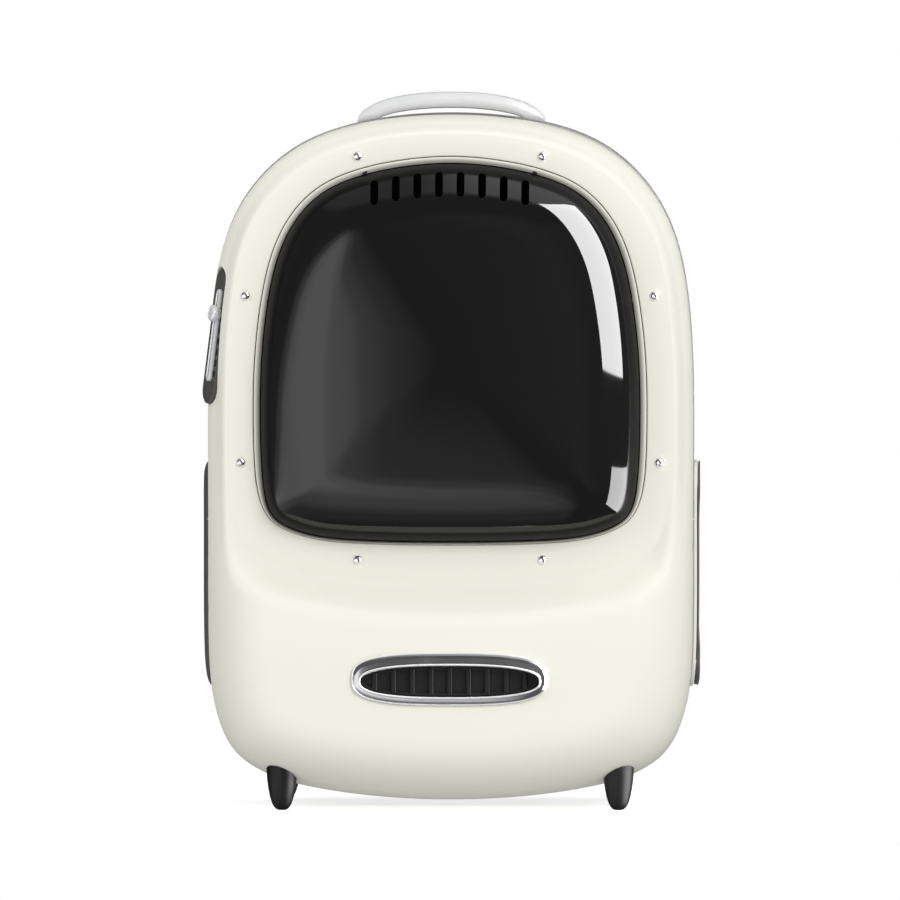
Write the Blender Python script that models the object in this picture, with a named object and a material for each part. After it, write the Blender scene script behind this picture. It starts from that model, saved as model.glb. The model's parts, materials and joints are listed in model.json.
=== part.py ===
"""Hard-shell cat carrier backpack: ivory front shell with a smoked dome window, grey rear body
with a padded door, side vent slider, power pocket, side hatch, fan unit, handle and peg feet.

Every length below is in millimetres; add_solid turns them into metres.
+X is to the right seen from the front, the window faces -Y and +Z is up.
The origin lies under the middle of the carrier, level with the tips of its feet."""
import math

import bmesh
import bpy
import numpy as np
from mathutils import Matrix, Vector

MM = 0.001
GAP = 0.35                     # air between pieces that touch
SIDES = 48                     # points around each outline

# Half outlines seen from the front, (x, z) from the top centre to the bottom centre.
SHELL_HALF = [(0, 441), (51, 436.7), (96, 421.6), (134.4, 382.7), (151, 324), (154.2, 270), (154.2, 190),
              (154, 112), (149, 62), (137, 36.5), (115, 21.5), (83.2, 12.8), (44.8, 7.7), (0, 5.8)]
CREASE_HALF = [(0, 429.4), (51, 424.3), (96, 404.5), (123.5, 375.5), (138, 322), (141.2, 280), (141.8, 235),
               (140.2, 204), (135.7, 183.7), (126, 166), (110, 156.8), (76.8, 149.8), (0, 145.3)]
LENS_HALF = [(0, 411.2), (32, 408.6), (60.8, 401.9), (80, 393), (94.7, 379.5), (107.5, 356.5),
             (115.2, 325.8), (120, 280), (120.4, 240), (118.6, 207), (112, 186.5), (100, 179), (61, 172.2),
             (0, 170.9)]
RAY_CENTRE = (0, 275)          # outlines are sampled along rays from here
HALF_WIDTH_LIMIT = 158.5       # widest point, at the side pocket and the side hatch

# Depths, front to back.
DOME_Y = -145.0                # front of the window dome
FACE_Y = -112.0                # flat frame around the window
RIM_Y = -84.0                  # where the rounded front turns into the side wall
PARTING_Y = -40.0              # rear edge of the front shell
REAR_Y = 106.0                 # rear face of the rear shell
STRAP_Y = 145.0                # outermost point of the shoulder straps
WALL = 3.0                     # shell wall

# Front shell surface.
BELLY_Y = -134.0
BELLY_CROWN = 3.0
UPPER_Y = -118.0
EDGE_RADIUS = 40.0
BELLY_Z = (100.0, 235.0)       # full belly below, none above
BAND_STEPS = (0.0, 0.07, 0.16, 0.28, 0.42, 0.58, 0.74, 0.87, 0.96, 1.0)

# Window.
LIP_WIDTH = 4.8
LIP_WIDTH_BOTTOM = 2.2
LIP_Z = (176.0, 215.0)         # the lip widens between these heights
FLANGE_WIDTH = 16.0
FLANGE_Y = -107.6
LENS_WALL = 2.2
DOME_SHOULDER = 42.0
DOME_CROWN = 7.4
SCREW_PLACES = [(58.7, 416.0), (130.0, 327.4), (133.0, 221.4), (58.7, 159.4)]
SLOT_COUNT = 8
SLOT_PITCH = 13.7

# Front vent.
BEZEL_SIZE = (124.0, 33.0)
BEZEL_Z = 84.5
BEZEL_POWER = 3.0              # how square the rounded outlines are, 2 being an ellipse
BEZEL_DEPTH = 12.2             # reach of the bezel's neck behind its face
VENT_SIZE = (113.0, 19.0)
VENT_Z = 82.8
VENT_POWER = 2.5
RIB_COUNT = 9
RIB_PITCH = 11.9
FAN_CENTRE = (0.0, 84.0)       # (x, z)
BLADE_COUNT = 7
GUARD_SLITS = 7
GUARD_PITCH = 7.5
LAMP_CENTRE = (0.0, -62.0)     # (x, y), under the roof

# Side vent, in its own frame: x across, y along, z out of the shell.
VENT_CENTRE = (-149.0, -93.0, 301.5)
VENT_TURN = math.radians(22)
VENT_LEAN = math.radians(7.2)
VENT_LENGTH = 87.4
VENT_WIDTH = 20.6
KNOB_RISE = 13.8               # knob above the vent's middle
HOLE_COUNT = 8                 # air holes on each side of the slider
HOLE_PITCH = 7.0

# Handle.
HANDLE_TOP = 455.0
HANDLE_HALF = 60.0
HANDLE_Y = (-34.0, -8.0)
HANDLE_GAP_HALF = 46.0
HANDLE_GAP_TOP = 445.0
CUP_Y = (-30.0, 21.0)
CUP_HALF = 40.0
CUP_BOTTOM = 412.0

# Side pocket (left) and side hatch (right), on the rear shell.
PANEL_Y = (-24.0, 74.0)
PANEL_Z = (75.0, 218.0)
HOLE_Y = (-8.0, 58.0)
HOLE_Z = (90.0, 205.0)
PANEL_RADIUS = 22.0
TRAY_DEPTH = 22.0
POCKET_RISE = 3.95
BUTTON_CENTRE = (-134.0, 10.0, 170.0)
USB_CENTRE = (-132.0, 40.0, 170.0)
GRIP_RISE = 2.2                # the hatch door thickens towards its two ends
GRIP_RUN = (38.0, 58.0)

# Back door, pad and straps.
DOOR_INSET = 24.0
DOOR_HINGE = (-131.5, 107.5)
PAD_FRONT = 122.0
STRAP_X = 52.0
STRAP_WIDTH = 56.0
ZIP_PLACE = (129.6, 110.0, 150.0)

# Floor and feet.
BOARD_HALF = 84.0
BOARD_Y = (-92.0, 70.0)
BOARD_Z = (18.0, 21.0)
MAT_TOP = 31.0
FOOT_X = 107.0
FOOT_Y = (-106.0, 62.0)

COLOURS = {
    "ivory": ((0.86, 0.84, 0.74), 0.22, 0.0),
    "smoke": ((0.02, 0.02, 0.02), 0.06, 0.0),
    "chrome": ((0.80, 0.80, 0.80), 0.12, 1.0),
    "black_plastic": ((0.03, 0.03, 0.032), 0.40, 0.0),
    "grey_plastic": ((0.10, 0.10, 0.10), 0.50, 0.0),
    "silver_grey": ((0.55, 0.56, 0.58), 0.38, 0.0),
    "rubber": ((0.02, 0.02, 0.02), 0.75, 0.0),
    "grey_fabric": ((0.16, 0.16, 0.17), 0.90, 0.0),
    "dark_mesh": ((0.05, 0.05, 0.055), 0.95, 0.0),
    "webbing": ((0.04, 0.04, 0.045), 0.85, 0.0),
    "board_green": ((0.02, 0.16, 0.07), 0.45, 0.0),
    "diffuser": ((0.90, 0.90, 0.86), 0.50, 0.0),
    "steel": ((0.55, 0.55, 0.56), 0.30, 1.0),
}


# ---------------------------------------------------------------- scene and meshes

def clear_scene():
    for obj in list(bpy.data.objects):
        bpy.data.objects.remove(obj, do_unlink=True)


def make_materials():
    made = {}
    for name, (colour, roughness, metallic) in COLOURS.items():
        mat = bpy.data.materials.new(name)
        mat.use_nodes = True
        shader = mat.node_tree.nodes["Principled BSDF"]
        shader.inputs["Base Color"].default_value = (*colour, 1)
        shader.inputs["Roughness"].default_value = roughness
        shader.inputs["Metallic"].default_value = metallic
        mat.diffuse_color = (*colour, 1)
        made[name] = mat
    return made


def add_solid(name, shape, material, origin=(0, 0, 0), turn=None, cutter=False):
    """An object from (verts, faces) in millimetres, which are measured from its origin."""
    verts, faces = shape
    mesh = bpy.data.meshes.new(name)
    bm = bmesh.new()
    made = [bm.verts.new(Vector(v) * MM) for v in verts]
    for face in faces:
        bm.faces.new([made[i] for i in face])
    bmesh.ops.recalc_face_normals(bm, faces=bm.faces)
    bm.to_mesh(mesh)
    bm.free()
    mesh.shade_smooth()
    mesh.set_sharp_from_angle(angle=math.radians(35))
    obj = bpy.data.objects.new(name, mesh)
    obj.location = Vector(origin) * MM
    if turn is not None:
        obj.rotation_euler = turn.to_euler()
    bpy.context.scene.collection.objects.link(obj)
    if cutter:
        obj.hide_render = True
        obj.display_type = "WIRE"
    else:
        mesh.materials.append(MATERIALS[material])
    return obj


def cut(target, shape, origin=(0, 0, 0), turn=None):
    """Cut a shape out of an object with a live Boolean."""
    index = sum(1 for mod in target.modifiers if mod.type == "BOOLEAN")
    tool = add_solid(f"cutter_{target.name}_{index}", shape, None, origin, turn, cutter=True)
    mod = target.modifiers.new(f"cut_{index}", "BOOLEAN")
    mod.operation = "DIFFERENCE"
    mod.solver = "EXACT"
    mod.object = tool


def join(shapes):
    """Several closed shapes in one list of vertices and faces."""
    verts = []
    faces = []
    for more_verts, more_faces in shapes:
        start = len(verts)
        verts.extend(more_verts)
        faces.extend(tuple(i + start for i in face) for face in more_faces)
    return verts, faces


def unite(target, shape, origin=(0, 0, 0), turn=None):
    """Merge a shape that reaches into an object with a live Boolean."""
    index = len(target.modifiers)
    tool = add_solid(f"adder_{target.name}_{index}", shape, None, origin, turn, cutter=True)
    mod = target.modifiers.new(f"add_{index}", "BOOLEAN")
    mod.operation = "UNION"
    mod.solver = "EXACT"
    mod.object = tool


# ---------------------------------------------------------------- shapes

def loft(loops, caps=True, wrap=False):
    """Skin between loops of points; wrap joins the last loop to the first."""
    count = len(loops[0])
    verts = [tuple(float(c) for c in point) for loop in loops for point in loop]
    faces = []
    for row in range(len(loops) if wrap else len(loops) - 1):
        low = row * count
        high = (row + 1) % len(loops) * count
        for i in range(count):
            j = (i + 1) % count
            faces.append((low + i, low + j, high + j, high + i))
    if caps and not wrap:
        faces.append(tuple(reversed(range(count))))
        faces.append(tuple(range(len(verts) - count, len(verts))))
    return verts, faces


def prism(outline, low, high, axis="Y"):
    """An outline of (a, b) points extruded along one axis."""
    place = {
        "X": lambda a, b, h: (h, a, b),
        "Y": lambda a, b, h: (a, h, b),
        "Z": lambda a, b, h: (a, b, h),
    }[axis]
    return loft([[place(a, b, h) for a, b in outline] for h in (low, high)])


def lathe(profile, sides, axis="Z"):
    """A closed profile of (radius, height) points turned about an axis; radius 0 is a pole."""
    place = {
        "X": lambda a, b, h: (h, a, b),
        "Y": lambda a, b, h: (a, h, b),
        "Z": lambda a, b, h: (a, b, h),
    }[axis]
    verts = []
    rows = []
    for radius, height in profile:
        if radius == 0:
            rows.append([len(verts)] * sides)
            verts.append(place(0, 0, height))
            continue
        rows.append(list(range(len(verts), len(verts) + sides)))
        for i in range(sides):
            angle = 2 * math.pi * i / sides
            verts.append(place(radius * math.cos(angle), radius * math.sin(angle), height))
    faces = []
    for low, high in zip(rows, rows[1:] + rows[:1]):
        for i in range(sides):
            j = (i + 1) % sides
            face = list(dict.fromkeys((low[i], low[j], high[j], high[i])))
            if len(face) > 2:
                faces.append(tuple(face))
    return verts, faces


def box(low, high):
    (x0, y0, z0), (x1, y1, z1) = low, high
    return prism([(x0, z0), (x1, z0), (x1, z1), (x0, z1)], y0, y1)


def rounded_rectangle(width, height, radius, centre=(0, 0), corner=5, edge=1):
    """Points around a rectangle with round corners; edge splits its straight runs."""
    points = []
    corners = [(1, 1, 0), (-1, 1, 90), (-1, -1, 180), (1, -1, 270)]
    for side_x, side_y, start in corners:
        cx = centre[0] + side_x * (width / 2 - radius)
        cy = centre[1] + side_y * (height / 2 - radius)
        for step in range(corner):
            angle = math.radians(start + 90 * step / (corner - 1))
            points.append((cx + radius * math.cos(angle), cy + radius * math.sin(angle)))
    if edge == 1:
        return points
    out = []
    for i, point in enumerate(points):
        out.append(point)
        if i % corner == corner - 1:
            following = points[(i + 1) % len(points)]
            for k in range(1, edge):
                t = k / edge
                out.append(tuple(p + (q - p) * t for p, q in zip(point, following)))
    return out


def smoothstep(value, low, high):
    t = np.clip((np.asarray(value, float) - low) / (high - low), 0, 1)
    return t * t * (3 - 2 * t)


def closed_spline(half, samples=720):
    """Smooth symmetric closed curve through a half outline and its mirror image."""
    points = np.array(half + [(-x, z) for x, z in half[-2:0:-1]], float)
    count = len(points)
    length = np.linalg.norm(np.roll(points, -1, 0) - points, axis=1)
    slope = (np.roll(points, -1, 0) - points) / length[:, None]
    before = np.roll(length, 1)
    system = np.diag(2 * (before + length))
    for i in range(count):
        system[i, i - 1] += length[i]
        system[i, (i + 1) % count] += before[i]
    pull = 3 * (length[:, None] * np.roll(slope, 1, 0) + before[:, None] * slope)
    tangent = np.linalg.solve(system, pull)
    knots = np.concatenate([[0], np.cumsum(length)])
    where = np.linspace(0, knots[-1], samples, endpoint=False)
    part = np.searchsorted(knots, where, side="right") - 1
    t = ((where - knots[part]) / length[part])[:, None]
    step = length[part][:, None]
    p, q = points[part], points[(part + 1) % count]
    m, n = tangent[part] * step, tangent[(part + 1) % count] * step
    return ((2 * t**3 - 3 * t**2 + 1) * p + (t**3 - 2 * t**2 + t) * m
            + (-2 * t**3 + 3 * t**2) * q + (t**3 - t**2) * n)


def offset_curve(curve, distance):
    """Move a dense clockwise curve outwards by a distance, one value or one per point."""
    along = np.roll(curve, -1, 0) - np.roll(curve, 1, 0)
    along /= np.linalg.norm(along, axis=1)[:, None]
    outward = np.stack([-along[:, 1], along[:, 0]], 1)
    return curve + outward * np.broadcast_to(distance, len(curve))[:, None]


def polar(curve):
    return np.arctan2(curve[:, 0] - RAY_CENTRE[0], curve[:, 1] - RAY_CENTRE[1])


def ring(curve, angles):
    """Points where rays from the common centre meet a curve."""
    bearing = polar(curve)
    order = np.argsort(bearing)
    bearing, curve = bearing[order], curve[order]
    bearing = np.concatenate([bearing - 2 * math.pi, bearing, bearing + 2 * math.pi])
    curve = np.concatenate([curve] * 3)
    return np.stack([np.interp(angles, bearing, curve[:, k]) for k in (0, 1)], 1)


def even_angles(curve, count):
    """Bearings of points spread evenly along a dense curve."""
    run = np.concatenate([[0], np.cumsum(np.linalg.norm(np.diff(curve, axis=0), axis=1))])
    even = np.linspace(0, run[-1] * len(curve) / (len(curve) - 1), count, endpoint=False)
    return np.interp(even, run, np.unwrap(polar(curve)))


def at_depth(points, depth):
    """(x, z) points with their y."""
    depth = np.broadcast_to(depth, len(points))
    return np.stack([points[:, 0], depth, points[:, 1]], 1)


SHELL = closed_spline(SHELL_HALF)
CREASE = closed_spline(CREASE_HALF)
LENS = closed_spline(LENS_HALF)
ANGLES = even_angles(SHELL, SIDES)
LIP_SHARE = smoothstep(LENS[:, 1], *LIP_Z)
LIP = offset_curve(LENS, LIP_WIDTH_BOTTOM + (LIP_WIDTH - LIP_WIDTH_BOTTOM) * LIP_SHARE)


def shell_half_width(z):
    """Half the shell's width at a height on its side."""
    side = SHELL[(SHELL[:, 0] > 0) & (SHELL[:, 1] < 330)]
    side = side[np.argsort(side[:, 1])]
    return float(np.interp(z, side[:, 1], side[:, 0]))


def shell_top(x):
    """Height of the shell's top at a distance from its middle."""
    top = SHELL[SHELL[:, 1] > 330]
    top = top[np.argsort(top[:, 0])]
    return float(np.interp(x, top[:, 0], top[:, 1]))


def edge_distance(points, curve):
    """Distance of each point from a dense curve."""
    return np.min(np.linalg.norm(points[:, None] - curve[None], axis=2), axis=1)


# ---------------------------------------------------------------- front shell and window

def front_loops(grow=0.0):
    """Loops of the front shell's outer surface, from the window opening to the parting line."""
    outer = ring(offset_curve(SHELL, grow), ANGLES)
    crease = ring(offset_curve(CREASE, grow), ANGLES)
    lip = ring(LIP, ANGLES)
    loops = [at_depth(lip, FACE_Y - grow), at_depth(crease + (lip - crease) * 0.12, FACE_Y - grow)]
    band = np.linalg.norm(outer - crease, axis=1)
    curve = offset_curve(SHELL, grow)
    for step in BAND_STEPS:
        points = crease + (outer - crease) * step
        depth = edge_distance(points, curve) if step < 1 else np.zeros(SIDES)
        belly = 1 - smoothstep(points[:, 1], *BELLY_Z)
        crown = BELLY_CROWN * (1 - (points[:, 0] / SHELL_HALF[5][0]) ** 2)
        front = UPPER_Y + (BELLY_Y - UPPER_Y) * belly - crown
        turn = 1 - np.minimum(depth, EDGE_RADIUS) / EDGE_RADIUS
        pillow = front + (RIM_Y - front) * (1 - np.sqrt(1 - turn**2))
        blend = smoothstep(band * step, 0, np.minimum(26, 0.6 * band))
        loops.append(at_depth(points, FACE_Y + 0.3 + (pillow - FACE_Y - 0.3) * blend - grow))
    loops.append(at_depth(outer, PARTING_Y - 22))
    loops.append(at_depth(outer, PARTING_Y))
    return loops


def oval(width, height, centre_z, power, count=36):
    """Points around a superellipse, as (x, z)."""
    turn = np.linspace(0, 2 * math.pi, count, endpoint=False)
    cos, sin = np.cos(turn), np.sin(turn)
    x = width / 2 * np.sign(cos) * np.abs(cos) ** (2 / power)
    z = height / 2 * np.sign(sin) * np.abs(sin) ** (2 / power)
    return np.stack([x, centre_z + z], 1)


def bezel_mix(share):
    """Outline between the vent opening (0) and the bezel's outer edge (1)."""
    inner = oval(*VENT_SIZE, VENT_Z, VENT_POWER)
    outer = oval(*BEZEL_SIZE, BEZEL_Z, BEZEL_POWER)
    return inner + (outer - inner) * share


def side_vent_turn():
    """Turns the side vent's own frame (x across, y along, z outward) into the carrier's."""
    along = Vector((math.sin(VENT_LEAN), 0, math.cos(VENT_LEAN)))
    out = Vector((-math.cos(VENT_TURN), -math.sin(VENT_TURN), 0))
    out = (out - along * out.dot(along)).normalized()
    across = along.cross(out)
    return Matrix((across, along, out)).transposed()


def slot_outline(length, width, steps=6, centre=(0, 0)):
    """Points around an upright slot with round ends."""
    radius = width / 2
    reach = length / 2 - radius
    points = []
    for side, start in ((1, 0), (-1, 180)):
        for k in range(steps + 1):
            angle = math.radians(start + 180 * k / steps)
            across = centre[0] + radius * math.cos(angle)
            along = centre[1] + side * reach + radius * math.sin(angle)
            points.append((across, along))
    return points


def screw_places():
    return [(side * x, z) for x, z in SCREW_PLACES for side in (-1, 1)]


def make_front_shell():
    shell = add_solid("front_shell", loft(front_loops(), caps=False), "ivory")
    thick = shell.modifiers.new("wall", "SOLIDIFY")
    thick.thickness = WALL * MM
    thick.offset = -1
    thick.use_even_offset = True
    cut(shell, prism(bezel_mix(0.62), BELLY_Y - 20, BELLY_Y + 20))
    cut(shell, prism(slot_outline(VENT_LENGTH + 2 * GAP, VENT_WIDTH + 2 * GAP), -12, 16, "Z"),
        VENT_CENTRE, side_vent_turn())
    cut(shell, join([moved(lathe([(0, -8), (1.9, -8), (1.9, 8), (0, 8)], 8, "Y"), (x, FACE_Y, z))
                     for x, z in screw_places()]))


def moved(shape, shift):
    verts, faces = shape
    return [tuple(a + b for a, b in zip(v, shift)) for v in verts], faces


def make_lens():
    edge = ring(LENS, ANGLES)
    flange = ring(offset_curve(LENS, FLANGE_WIDTH), ANGLES)
    loops = [at_depth(flange, FLANGE_Y), at_depth(edge, FLANGE_Y)]
    centre = np.array([[0.0, 290.0]])
    height = FLANGE_Y - DOME_Y - DOME_CROWN
    for step in (0.012, 0.04, 0.085, 0.15, 0.25, 0.42, 0.66, 0.9):
        points = edge + (centre - edge) * step
        inward = edge_distance(points, LENS)
        turn = 1 - np.minimum(inward, DOME_SHOULDER) / DOME_SHOULDER
        rise = height * (1 - turn**2.4) ** (1 / 2.4)
        crown = DOME_CROWN * (1 - (1 - step) ** 2) / (1 - 0.1**2)
        loops.append(at_depth(points, FLANGE_Y - rise - crown))
    verts, faces = loft(loops, caps=False)
    last = len(verts) - SIDES
    faces.append(tuple(range(last, len(verts))))
    lens = add_solid("window_lens", (verts, faces), "smoke")
    thick = lens.modifiers.new("wall", "SOLIDIFY")
    thick.thickness = LENS_WALL * MM
    thick.offset = -1
    thick.use_even_offset = True
    slots = []
    for k in range(SLOT_COUNT):
        x = SLOT_PITCH * (k - (SLOT_COUNT - 1) / 2)
        top = 406.3 - 5.3 * (x / (SLOT_PITCH * 3.5)) ** 2
        outline = slot_outline(15.5, 5.0, 3, (x, top - 7.75))
        slots.append(prism(outline, DOME_Y - 8, FLANGE_Y + 0.5))
    cut(lens, join(slots))
    cut(lens, join([moved(lathe([(0, -8), (1.9, -8), (1.9, 8), (0, 8)], 8, "Y"), (x, FLANGE_Y, z))
                    for x, z in screw_places()]))


def ring_solid(name, section, material):
    """A ring that follows the window, from (offset from the lens outline, y) corners."""
    loops = []
    for offset, depth in section:
        loops.append(at_depth(ring(offset_curve(LENS, offset), ANGLES), depth))
    add_solid(name, loft(loops, wrap=True), material)


def make_window_rings():
    inner = ring(offset_curve(LENS, 0.5), ANGLES)
    outer = ring(LIP, ANGLES)
    outer = outer + (inner - outer) * (0.4 / LIP_WIDTH)
    front = FLANGE_Y - GAP
    loops = [at_depth(inner, front), at_depth(outer, front), at_depth(outer, FACE_Y + 0.6),
             at_depth(inner + (outer - inner) * 0.75, FACE_Y + 0.7), at_depth(inner, front - 0.9)]
    add_solid("window_trim_ring", loft(loops, wrap=True), "ivory")
    seal_front = FACE_Y + WALL + 0.3
    section = [(6.0, seal_front), (10.5, seal_front), (10.5, front), (6.0, front)]
    ring_solid("window_gasket", section, "rubber")


def make_screws():
    head = [(0, -1.9), (1.5, -1.7), (2.5, -1.0), (2.9, 0), (1.5, 0), (1.5, 8.0), (0, 8.0)]
    for number, (x, z) in enumerate(screw_places(), 1):
        add_solid(f"window_screw_{number}", lathe(head, 10, "Y"), "chrome", (x, FACE_Y - GAP, z))


# ---------------------------------------------------------------- front vent and fan

def make_front_vent():
    face = BELLY_Y - BELLY_CROWN - GAP
    section = [(0, face + BEZEL_DEPTH), (0, face - 1.2), (0.12, face - 2.2), (0.45, face - 2.9),
               (0.86, face - 2.0), (1.0, face), (0.5, face), (0.5, face + BEZEL_DEPTH)]
    loops = [at_depth(bezel_mix(share), y) for share, y in section]
    add_solid("front_vent_bezel", loft(loops, wrap=True), "chrome")
    outline = oval(VENT_SIZE[0] - 2 * GAP, VENT_SIZE[1] - 2 * GAP, VENT_Z, VENT_POWER)
    grille = add_solid("front_vent_grille", prism(outline, face + 2.5, face + 6.5), "black_plastic")
    gaps = []
    for k in range(1, RIB_COUNT):
        x = RIB_PITCH * (k - RIB_COUNT / 2)
        share = (1 - (2 * abs(x) / VENT_SIZE[0]) ** VENT_POWER) ** (1 / VENT_POWER)
        half = (VENT_SIZE[1] / 2 - 2.2) * share
        gaps.append(box((x - 4.2, face, VENT_Z - half), (x + 4.2, face + 9, VENT_Z + half)))
    cut(grille, join(gaps))


def make_fan():
    cx, cz = FAN_CENTRE
    plate = rounded_rectangle(134, 66, 10, (cx, cz), corner=4)
    front = BELLY_Y - BELLY_CROWN + BEZEL_DEPTH + 0.1
    housing = add_solid("fan_housing", prism(plate, front, front + 2.4), "black_plastic")
    unite(housing, lathe([(28.9, 0.5), (31.2, 0.5), (31.2, 19), (28.9, 19)], 24, "Y"), (cx, front, cz))
    cut(housing, lathe([(0, -4), (29, -4), (29, 10), (0, 10)], 24, "Y"), (cx, front, cz))
    for k in range(3):
        spoke = box((-1.6, 16.6, 6), (1.6, 18.8, 30))
        unite(housing, spoke, (cx, front, cz), Matrix.Rotation(math.radians(120 * k + 30), 3, "Y"))
    unite(housing, lathe([(0, 16.6), (9, 16.6), (9, 18.8), (0, 18.8)], 16, "Y"), (cx, front, cz))
    motor = [(0, 1), (1.4, 1), (1.4, 8.2), (8.2, 8.2), (8.2, 12.9), (0, 12.9)]
    add_solid("fan_motor", lathe(motor, 16, "Y"), "steel", (cx, front + 3.3, cz))
    hub = [(1.8, -0.6), (9.2, -0.6), (9.2, 6.5), (1.8, 6.5)]
    impeller = add_solid("fan_impeller", lathe(hub, 16, "Y"), "black_plastic", (cx, front + 4.6, cz))
    blade = loft([[(-1.4 - r * 0.16, 0.2, r), (-0.2 - r * 0.16, 0.2, r), (1.4 + r * 0.16, 5.6, r),
                   (0.2 + r * 0.16, 5.6, r)] for r in (8.4, 17, 27.4)])
    for k in range(BLADE_COUNT):
        turn = Matrix.Rotation(2 * math.pi * k / BLADE_COUNT, 3, "Y")
        unite(impeller, blade, (cx, front + 4.6, cz), turn)
    guard_front = front + 19.4
    outline = rounded_rectangle(76, 70, 12, (cx, cz), 4)
    guard = add_solid("fan_guard", prism(outline, guard_front, guard_front + 2), "black_plastic")
    slits = []
    for k in range(GUARD_SLITS):
        rise = GUARD_PITCH * (k - (GUARD_SLITS - 1) / 2)
        reach = math.sqrt(28**2 - rise**2)
        low = (-reach, guard_front - 3, cz + rise - 2.1)
        high = (reach, guard_front + 5, cz + rise + 2.1)
        slits.append(box(low, high))
    cut(guard, join(slits))
    board = box((36, front + 2.4 + GAP, cz - 22), (63, front + 4.2, cz + 22))
    add_solid("control_board", board, "board_green")


def make_lamp():
    top = shell_top(32) - WALL - 0.8
    body = rounded_rectangle(60, 16, 7.5, LAMP_CENTRE)
    light = rounded_rectangle(54, 11, 5, LAMP_CENTRE)
    add_solid("led_housing", prism(body, top - 5, top, "Z"), "silver_grey")
    add_solid("led_diffuser", prism(light, top - 7, top - 5 - GAP, "Z"), "diffuser")


# ---------------------------------------------------------------- side vent

def make_side_vent():
    turn = side_vent_turn()
    steps = 6
    rim = slot_outline(VENT_LENGTH, VENT_WIDTH, steps)
    inner = slot_outline(VENT_LENGTH - 3.6, VENT_WIDTH - 3.6, steps)
    loops = [[(x, y, -3) for x, y in rim], [(x, y, 0.9) for x, y in rim], [(x, y, 0.9) for x, y in inner],
             [(x, y, 0) for x, y in inner]]
    plate = add_solid("side_vent_bezel", loft(loops), "grey_plastic", VENT_CENTRE, turn)
    holes = [prism(rounded_rectangle(2.6, 52, 1.2, (0, 0), 3), -6, 6, "Z")]
    for side in (-1, 1):
        x = side * 5.8
        for k in range(HOLE_COUNT):
            y = HOLE_PITCH * (k - (HOLE_COUNT - 1) / 2)
            holes.append(box((x - 2.1, y - 2.1, -6), (x + 2.1, y + 2.1, 6)))
    cut(plate, join(holes), VENT_CENTRE, turn)
    track_outer = slot_outline(59, 6.4, 4)
    track_inner = slot_outline(54, 2.6, 4)
    loops = [[(x, y, h) for x, y in line] for line, h in
             ((track_inner, GAP), (track_outer, GAP), (track_outer, 2.0), (slot_outline(57.8, 5.2, 4), 2.6),
              (track_inner, 2.6))]
    add_solid("side_vent_track", loft(loops, wrap=True), "chrome", VENT_CENTRE, turn)
    knob_at = Vector(VENT_CENTRE) + turn @ Vector((0, KNOB_RISE, 0))
    profile = [(0, 0.4), (5.2, 0.4), (5.2, 5.3), (4.4, 6.0), (0, 6.2)]
    knob = add_solid("side_vent_knob", lathe(profile, 18), "chrome", knob_at, turn)
    cut(knob, box((-3.6, -9, -1), (3.6, 9, 2.6 + GAP)), knob_at, turn)
    unite(knob, lathe([(0, -3.2), (0.95, -3.2), (0.95, 3.6), (0, 3.6)], 8), knob_at, turn)
    shutter = prism(slot_outline(40, 16, 6), -4.7, -3.5, "Z")
    add_solid("side_vent_shutter", shutter, "black_plastic", knob_at, turn)


# ---------------------------------------------------------------- rear shell, seal and handle

def offset_ring(inset, depth):
    return at_depth(ring(offset_curve(SHELL, -inset), ANGLES), depth)


REAR_SECTION = [(0.6, PARTING_Y + 3.3), (0.3, -26), (0.6, 40), (3, 78), (8.5, 96), (16, REAR_Y - 1),
                (DOOR_INSET, REAR_Y)]


def make_rear_shell():
    seal = [(0.3, PARTING_Y + GAP), (0.3, PARTING_Y + 3.3 - GAP), (3.2, PARTING_Y + 3.3 - GAP),
            (3.2, PARTING_Y + GAP)]
    add_solid("parting_seal", loft([offset_ring(*corner) for corner in seal], wrap=True), "rubber")
    shell = add_solid("rear_shell", loft([offset_ring(*corner) for corner in REAR_SECTION], caps=False),
                      "grey_fabric")
    thick = shell.modifiers.new("wall", "SOLIDIFY")
    thick.thickness = WALL * MM
    thick.offset = -1
    thick.use_even_offset = True
    middle_y = sum(HOLE_Y) / 2
    middle_z = sum(HOLE_Z) / 2
    hole = rounded_rectangle(HOLE_Y[1] - HOLE_Y[0], HOLE_Z[1] - HOLE_Z[0], 10, (middle_y, middle_z), 3)
    cut(shell, join([prism(hole, -175, -130, "X"), prism(hole, 130, 175, "X")]))
    wide = 2 * CUP_HALF + 2 * GAP
    deep = CUP_Y[1] - CUP_Y[0] + 2 * GAP
    cup = rounded_rectangle(wide, deep, 12, (0, sum(CUP_Y) / 2), 4)
    cut(shell, prism(cup, 420, 460, "Z"))


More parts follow.
